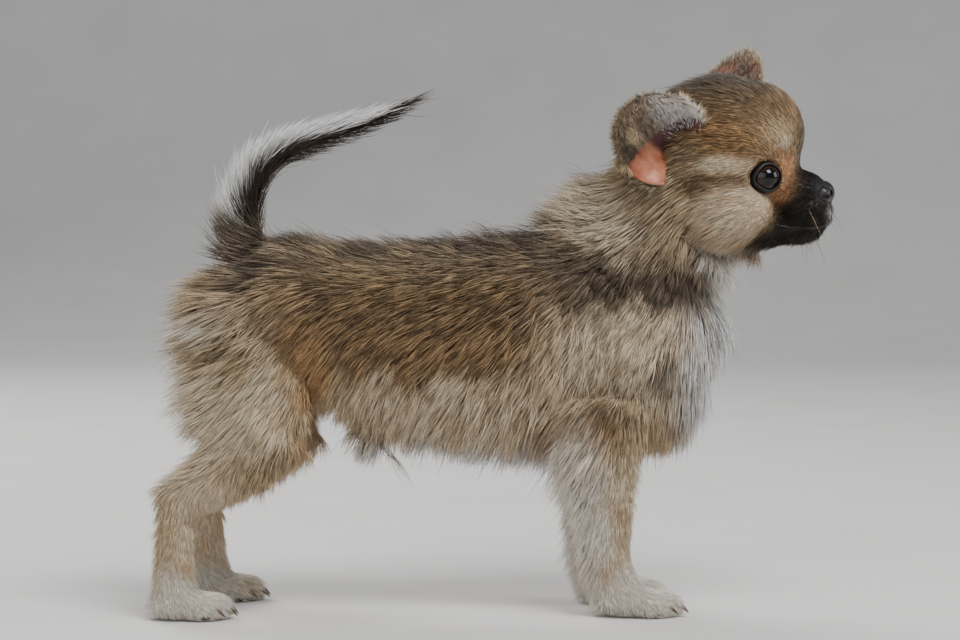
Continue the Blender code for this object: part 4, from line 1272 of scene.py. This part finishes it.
class Finish:
    """A material and its nodes."""

    def __init__(self, name, **sockets):
        self.material = bpy.data.materials.new(name)
        self.material.use_nodes = True
        self.nodes = self.material.node_tree.nodes
        self.links = self.material.node_tree.links
        self.shader = self.nodes["Principled BSDF"]
        for key, value in sockets.items():
            self.shader.inputs[key.replace("_", " ")].default_value = value

    def node(self, kind, **inputs):
        made = self.nodes.new(f"ShaderNode{kind}")
        for key, value in inputs.items():
            made.inputs[key.replace("_", " ")].default_value = value
        return made

    def link(self, source, output, target, entry):
        self.links.new(source.outputs[output], target.inputs[entry])

    def over_object(self, kind, **inputs):
        """A texture over the object's own places."""
        made = self.node(kind, **inputs)
        self.link(self.node("TexCoord"), "Object", made, "Vector")
        return made

    def colour(self, source, output, stops):
        """Colours the shader by a ramp over a source."""
        made = self.nodes.new("ShaderNodeValToRGB")
        elements = made.color_ramp.elements
        for i, (place, colour) in enumerate(stops):
            if i >= len(elements):
                elements.new(place)
            elements[i].position = place
            elements[i].color = (*srgb(colour), 1)
        self.link(source, output, made, "Fac")
        self.link(made, "Color", self.shader, "Base Color")
        return made

    def bump(self, source, output, strength, distance):
        made = self.node("Bump", Strength=strength, Distance=distance)
        self.link(source, output, made, "Height")
        self.link(made, "Normal", self.shader, "Normal")


def coat_finish():
    """Hair coloured by its own attribute, with a fine variation along and between hairs."""
    made = Finish("hair", Roughness=0.5, Specular_IOR_Level=0.30)
    colour = made.node("Attribute")
    colour.attribute_name = "coat"
    noise = made.over_object("TexNoise", Scale=700.0, Detail=2.0)
    level = made.node("MapRange", To_Min=0.84, To_Max=1.16)
    made.link(noise, "Fac", level, "Value")
    scaled = made.node("VectorMath")
    scaled.operation = "SCALE"
    made.link(colour, "Color", scaled, 0)
    made.link(level, "Result", scaled, "Scale")
    made.link(scaled, "Vector", made.shader, "Base Color")
    return made.material


def leather_finish(name, pale, dark, roughness, scale, strength, distance):
    """Bare skin: two tones in soft patches under fine pebbles."""
    made = Finish(name, Roughness=roughness, Specular_IOR_Level=0.5)
    made.colour(made.over_object("TexNoise", Scale=220.0, Detail=4.0), "Fac", ((0.35, dark), (0.65, pale)))
    made.bump(made.over_object("TexVoronoi", Scale=scale), "Distance", strength, distance)
    return made


def ear_finish():
    """The ear's inner skin: thin and pink, with painted shade that turns it a deep red in its canal, a
    little lit through.
    """
    made = leather_finish("ear_skin", "ffffff", "cfa89a", 0.45, 900.0, 0.15, 0.0002)
    # The attribute holds the skin's pink and the painted shade of its canal
    flush_and_shade = made.node("Attribute")
    flush_and_shade.attribute_name = "flush_and_shade"
    patches = made.shader.inputs["Base Color"].links[0].from_node
    tint = made.node("VectorMath")
    tint.operation = "MULTIPLY"
    made.link(flush_and_shade, "Color", tint, 0)
    made.link(patches, "Color", tint, 1)
    made.link(tint, "Vector", made.shader, "Base Color")
    made.shader.inputs["Subsurface Weight"].default_value = 0.15
    made.shader.inputs["Subsurface Radius"].default_value = (0.004, 0.0015, 0.001)
    made.shader.inputs["Subsurface Scale"].default_value = 1.0
    return made.material


def eye_finish():
    """A near-black eye: pupil, dark brown iris and a darker rim, under a clear glossy coat."""
    made = Finish("eye", Roughness=0.08, Coat_Weight=0.35, Coat_Roughness=0.015, Specular_IOR_Level=0.2)
    chart = made.node("UVMap")
    chart.uv_map = "UVMap"
    parts = made.node("SeparateXYZ")
    made.link(chart, "UV", parts, "Vector")
    fibres = made.node("TexNoise", Scale=60.0, Detail=3.0)
    made.link(chart, "UV", fibres, "Vector")
    bend = made.node("Math")
    bend.operation = "MULTIPLY_ADD"
    bend.inputs[1].default_value = 0.05
    made.link(fibres, "Fac", bend, 0)
    made.link(parts, "Y", bend, 2)
    rings = ((0.60, "2a211c"), (0.66, "0c0706"), (0.72, "1e0f08"), (0.80, "2a160b"), (0.84, "050303"))
    made.colour(bend, "Value", rings)
    return made.material


def horn_finish():
    """Claws: dark horn with fine lengthwise streaks."""
    made = Finish("claw_horn", Roughness=0.3, Specular_IOR_Level=0.5)
    stretch = made.over_object("Mapping", Scale=(300.0, 1800.0, 900.0))
    noise = made.node("TexNoise", Scale=1.0, Detail=3.0)
    made.link(stretch, "Vector", noise, "Vector")
    made.colour(noise, "Fac", ((0.3, "2e2219"), (0.7, "7a6450")))
    return made.material


def floor_finish():
    made = Finish("pale_floor", Roughness=0.75, Specular_IOR_Level=0.2)
    noise = made.over_object("TexNoise", Scale=14.0, Detail=3.0)
    made.colour(noise, "Fac", ((0.3, "dad8d5"), (0.7, "dfdddb")))
    return made.material


def skin_colours(skin, surface):
    """The coat's own colours, with their painted light and shade, on the skin under it, darker as it lies
    in the hair's shade.
    """
    pale, dark, share = markings_and_painted_light(surface.points)
    mixed = (pale * (1 - share[:, None]) + dark * share[:, None]) * 0.5
    write_colours(skin.data, "coat", mixed)


def select_edges(obj, chosen):
    """Selects, in edit mode, the edges whose two ends both pass the test."""
    bpy.ops.object.mode_set(mode="EDIT")
    bpy.ops.mesh.select_mode(type="EDGE")
    bpy.ops.mesh.select_all(action="DESELECT")
    bpy.ops.object.mode_set(mode="OBJECT")
    for edge in obj.data.edges:
        edge.select = all(chosen(obj.data.vertices[k].co) for k in edge.vertices)
    bpy.ops.object.mode_set(mode="EDIT")


def make_floor():
    """A plain pale floor that runs up into a backdrop."""
    bpy.ops.object.select_all(action="DESELECT")
    bpy.ops.mesh.primitive_plane_add(size=5)
    floor = bpy.context.object
    select_edges(floor, lambda co: co.y > 1)
    bpy.ops.mesh.extrude_region_move(TRANSFORM_OT_translate={"value": (0, 0, 3)})
    bpy.ops.object.mode_set(mode="OBJECT")
    select_edges(floor, lambda co: co.y > 1 and co.z < 1)
    bpy.ops.mesh.bevel(offset=1.0, segments=16, affect="EDGES")
    bpy.ops.object.mode_set(mode="OBJECT")
    floor.name = "floor"
    floor.data.shade_smooth()
    dress(floor, floor_finish())
    return floor


def stage():
    """The floor and backdrop, soft studio light and the camera."""
    make_floor()
    for name, place, size, power in (
        ("key", (0.45, -0.75, 1.35), 0.7, 20),
        ("fill", (-0.9, -1.3, 0.7), 1.2, 7),
        ("rim", (-0.7, 0.9, 1.0), 0.8, 14),
        ("front", (1.4, -0.1, 0.6), 0.7, 7),
    ):
        light = bpy.data.lights.new(name, "AREA")
        light.size = size
        light.energy = power
        lamp = bpy.data.objects.new(name, light)
        bpy.context.scene.collection.objects.link(lamp)
        lamp.location = place
        lamp.rotation_euler = (Vector((0, 0, 0.1)) - Vector(place)).to_track_quat("-Z", "Y").to_euler()
    world = bpy.data.worlds.new("studio")
    world.use_nodes = True
    sky = world.node_tree.nodes["Background"]
    sky.inputs["Color"].default_value = (0.80, 0.82, 0.86, 1)
    sky.inputs["Strength"].default_value = 0.35
    bpy.context.scene.world = world
    camera = bpy.data.cameras.new("camera")
    camera.lens = 112.5
    camera.sensor_width = 36
    eye = bpy.data.objects.new("camera", camera)
    bpy.context.scene.collection.objects.link(eye)
    pitch = math.radians(CAMERA_PITCH)
    target = Vector(metres(CAMERA_TARGET))
    eye.location = target + CAMERA_AWAY * Vector((0, -math.cos(pitch), math.sin(pitch)))
    eye.rotation_euler = (target - eye.location).to_track_quat("-Z", "Y").to_euler()
    bpy.context.scene.camera = eye


def keep(slot, *pieces):
    """Every piece rides on the one body; the slot is not used."""
    for piece in pieces:
        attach(piece, "root")


def main():
    hair = coat_finish()
    skin = make_skin()
    surface = Surface(skin)
    skin_colours(skin, surface)
    dress(skin, hair)
    lips = lip_paths(surface)
    keep("coat", skin, *grow_coat(surface, np.concatenate(lips), hair))
    keep("coat", make_whiskers(surface, hair), make_belly_wisp(surface, hair))

    pink = ear_finish()
    hide = leather_finish("ear_back", "8a7460", "5f4f41", 0.6, 900, 0.1, 0.0002).material
    for side, ear in EARS.items():
        leather = make_ear(side, ear, (pink, hide))
        keep("bare_skin", leather)
        keep("coat", ear_hair(side, ear, leather, hair))
        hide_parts(f"ear_{side}")

    glass = eye_finish()
    rim = leather_finish("lid_leather", "140e0c", "090606", 0.5, 1600.0, 0.25, 0.00015).material
    for side, word in ((-1, "right"), (1, "left")):
        eyeball = make_eye(side, word, glass)
        keep("eye_glass", eyeball)
        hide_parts(f"eye_{word}")
        keep("nose_leather", make_lids(side, word, rim))

    moist = leather_finish("nose_leather", "1a1615", "0c0a0a", 0.33, 1700.0, 0.55, 0.00022).material
    nose = make_nose(moist)
    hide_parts("nose")
    keep("nose_leather", nose, make_lips(lips, moist))
    keep("claw", make_claws(horn_finish()))
    pad = leather_finish("pad_leather", "3a2c27", "241b18", 0.6, 1100.0, 0.5, 0.0003).material
    keep("bare_skin", make_pads(pad))

    bare = ("nose", "eye_right", "eye_left", "ear_right", "ear_left")
    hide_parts(*[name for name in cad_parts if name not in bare])
    stage()


main()
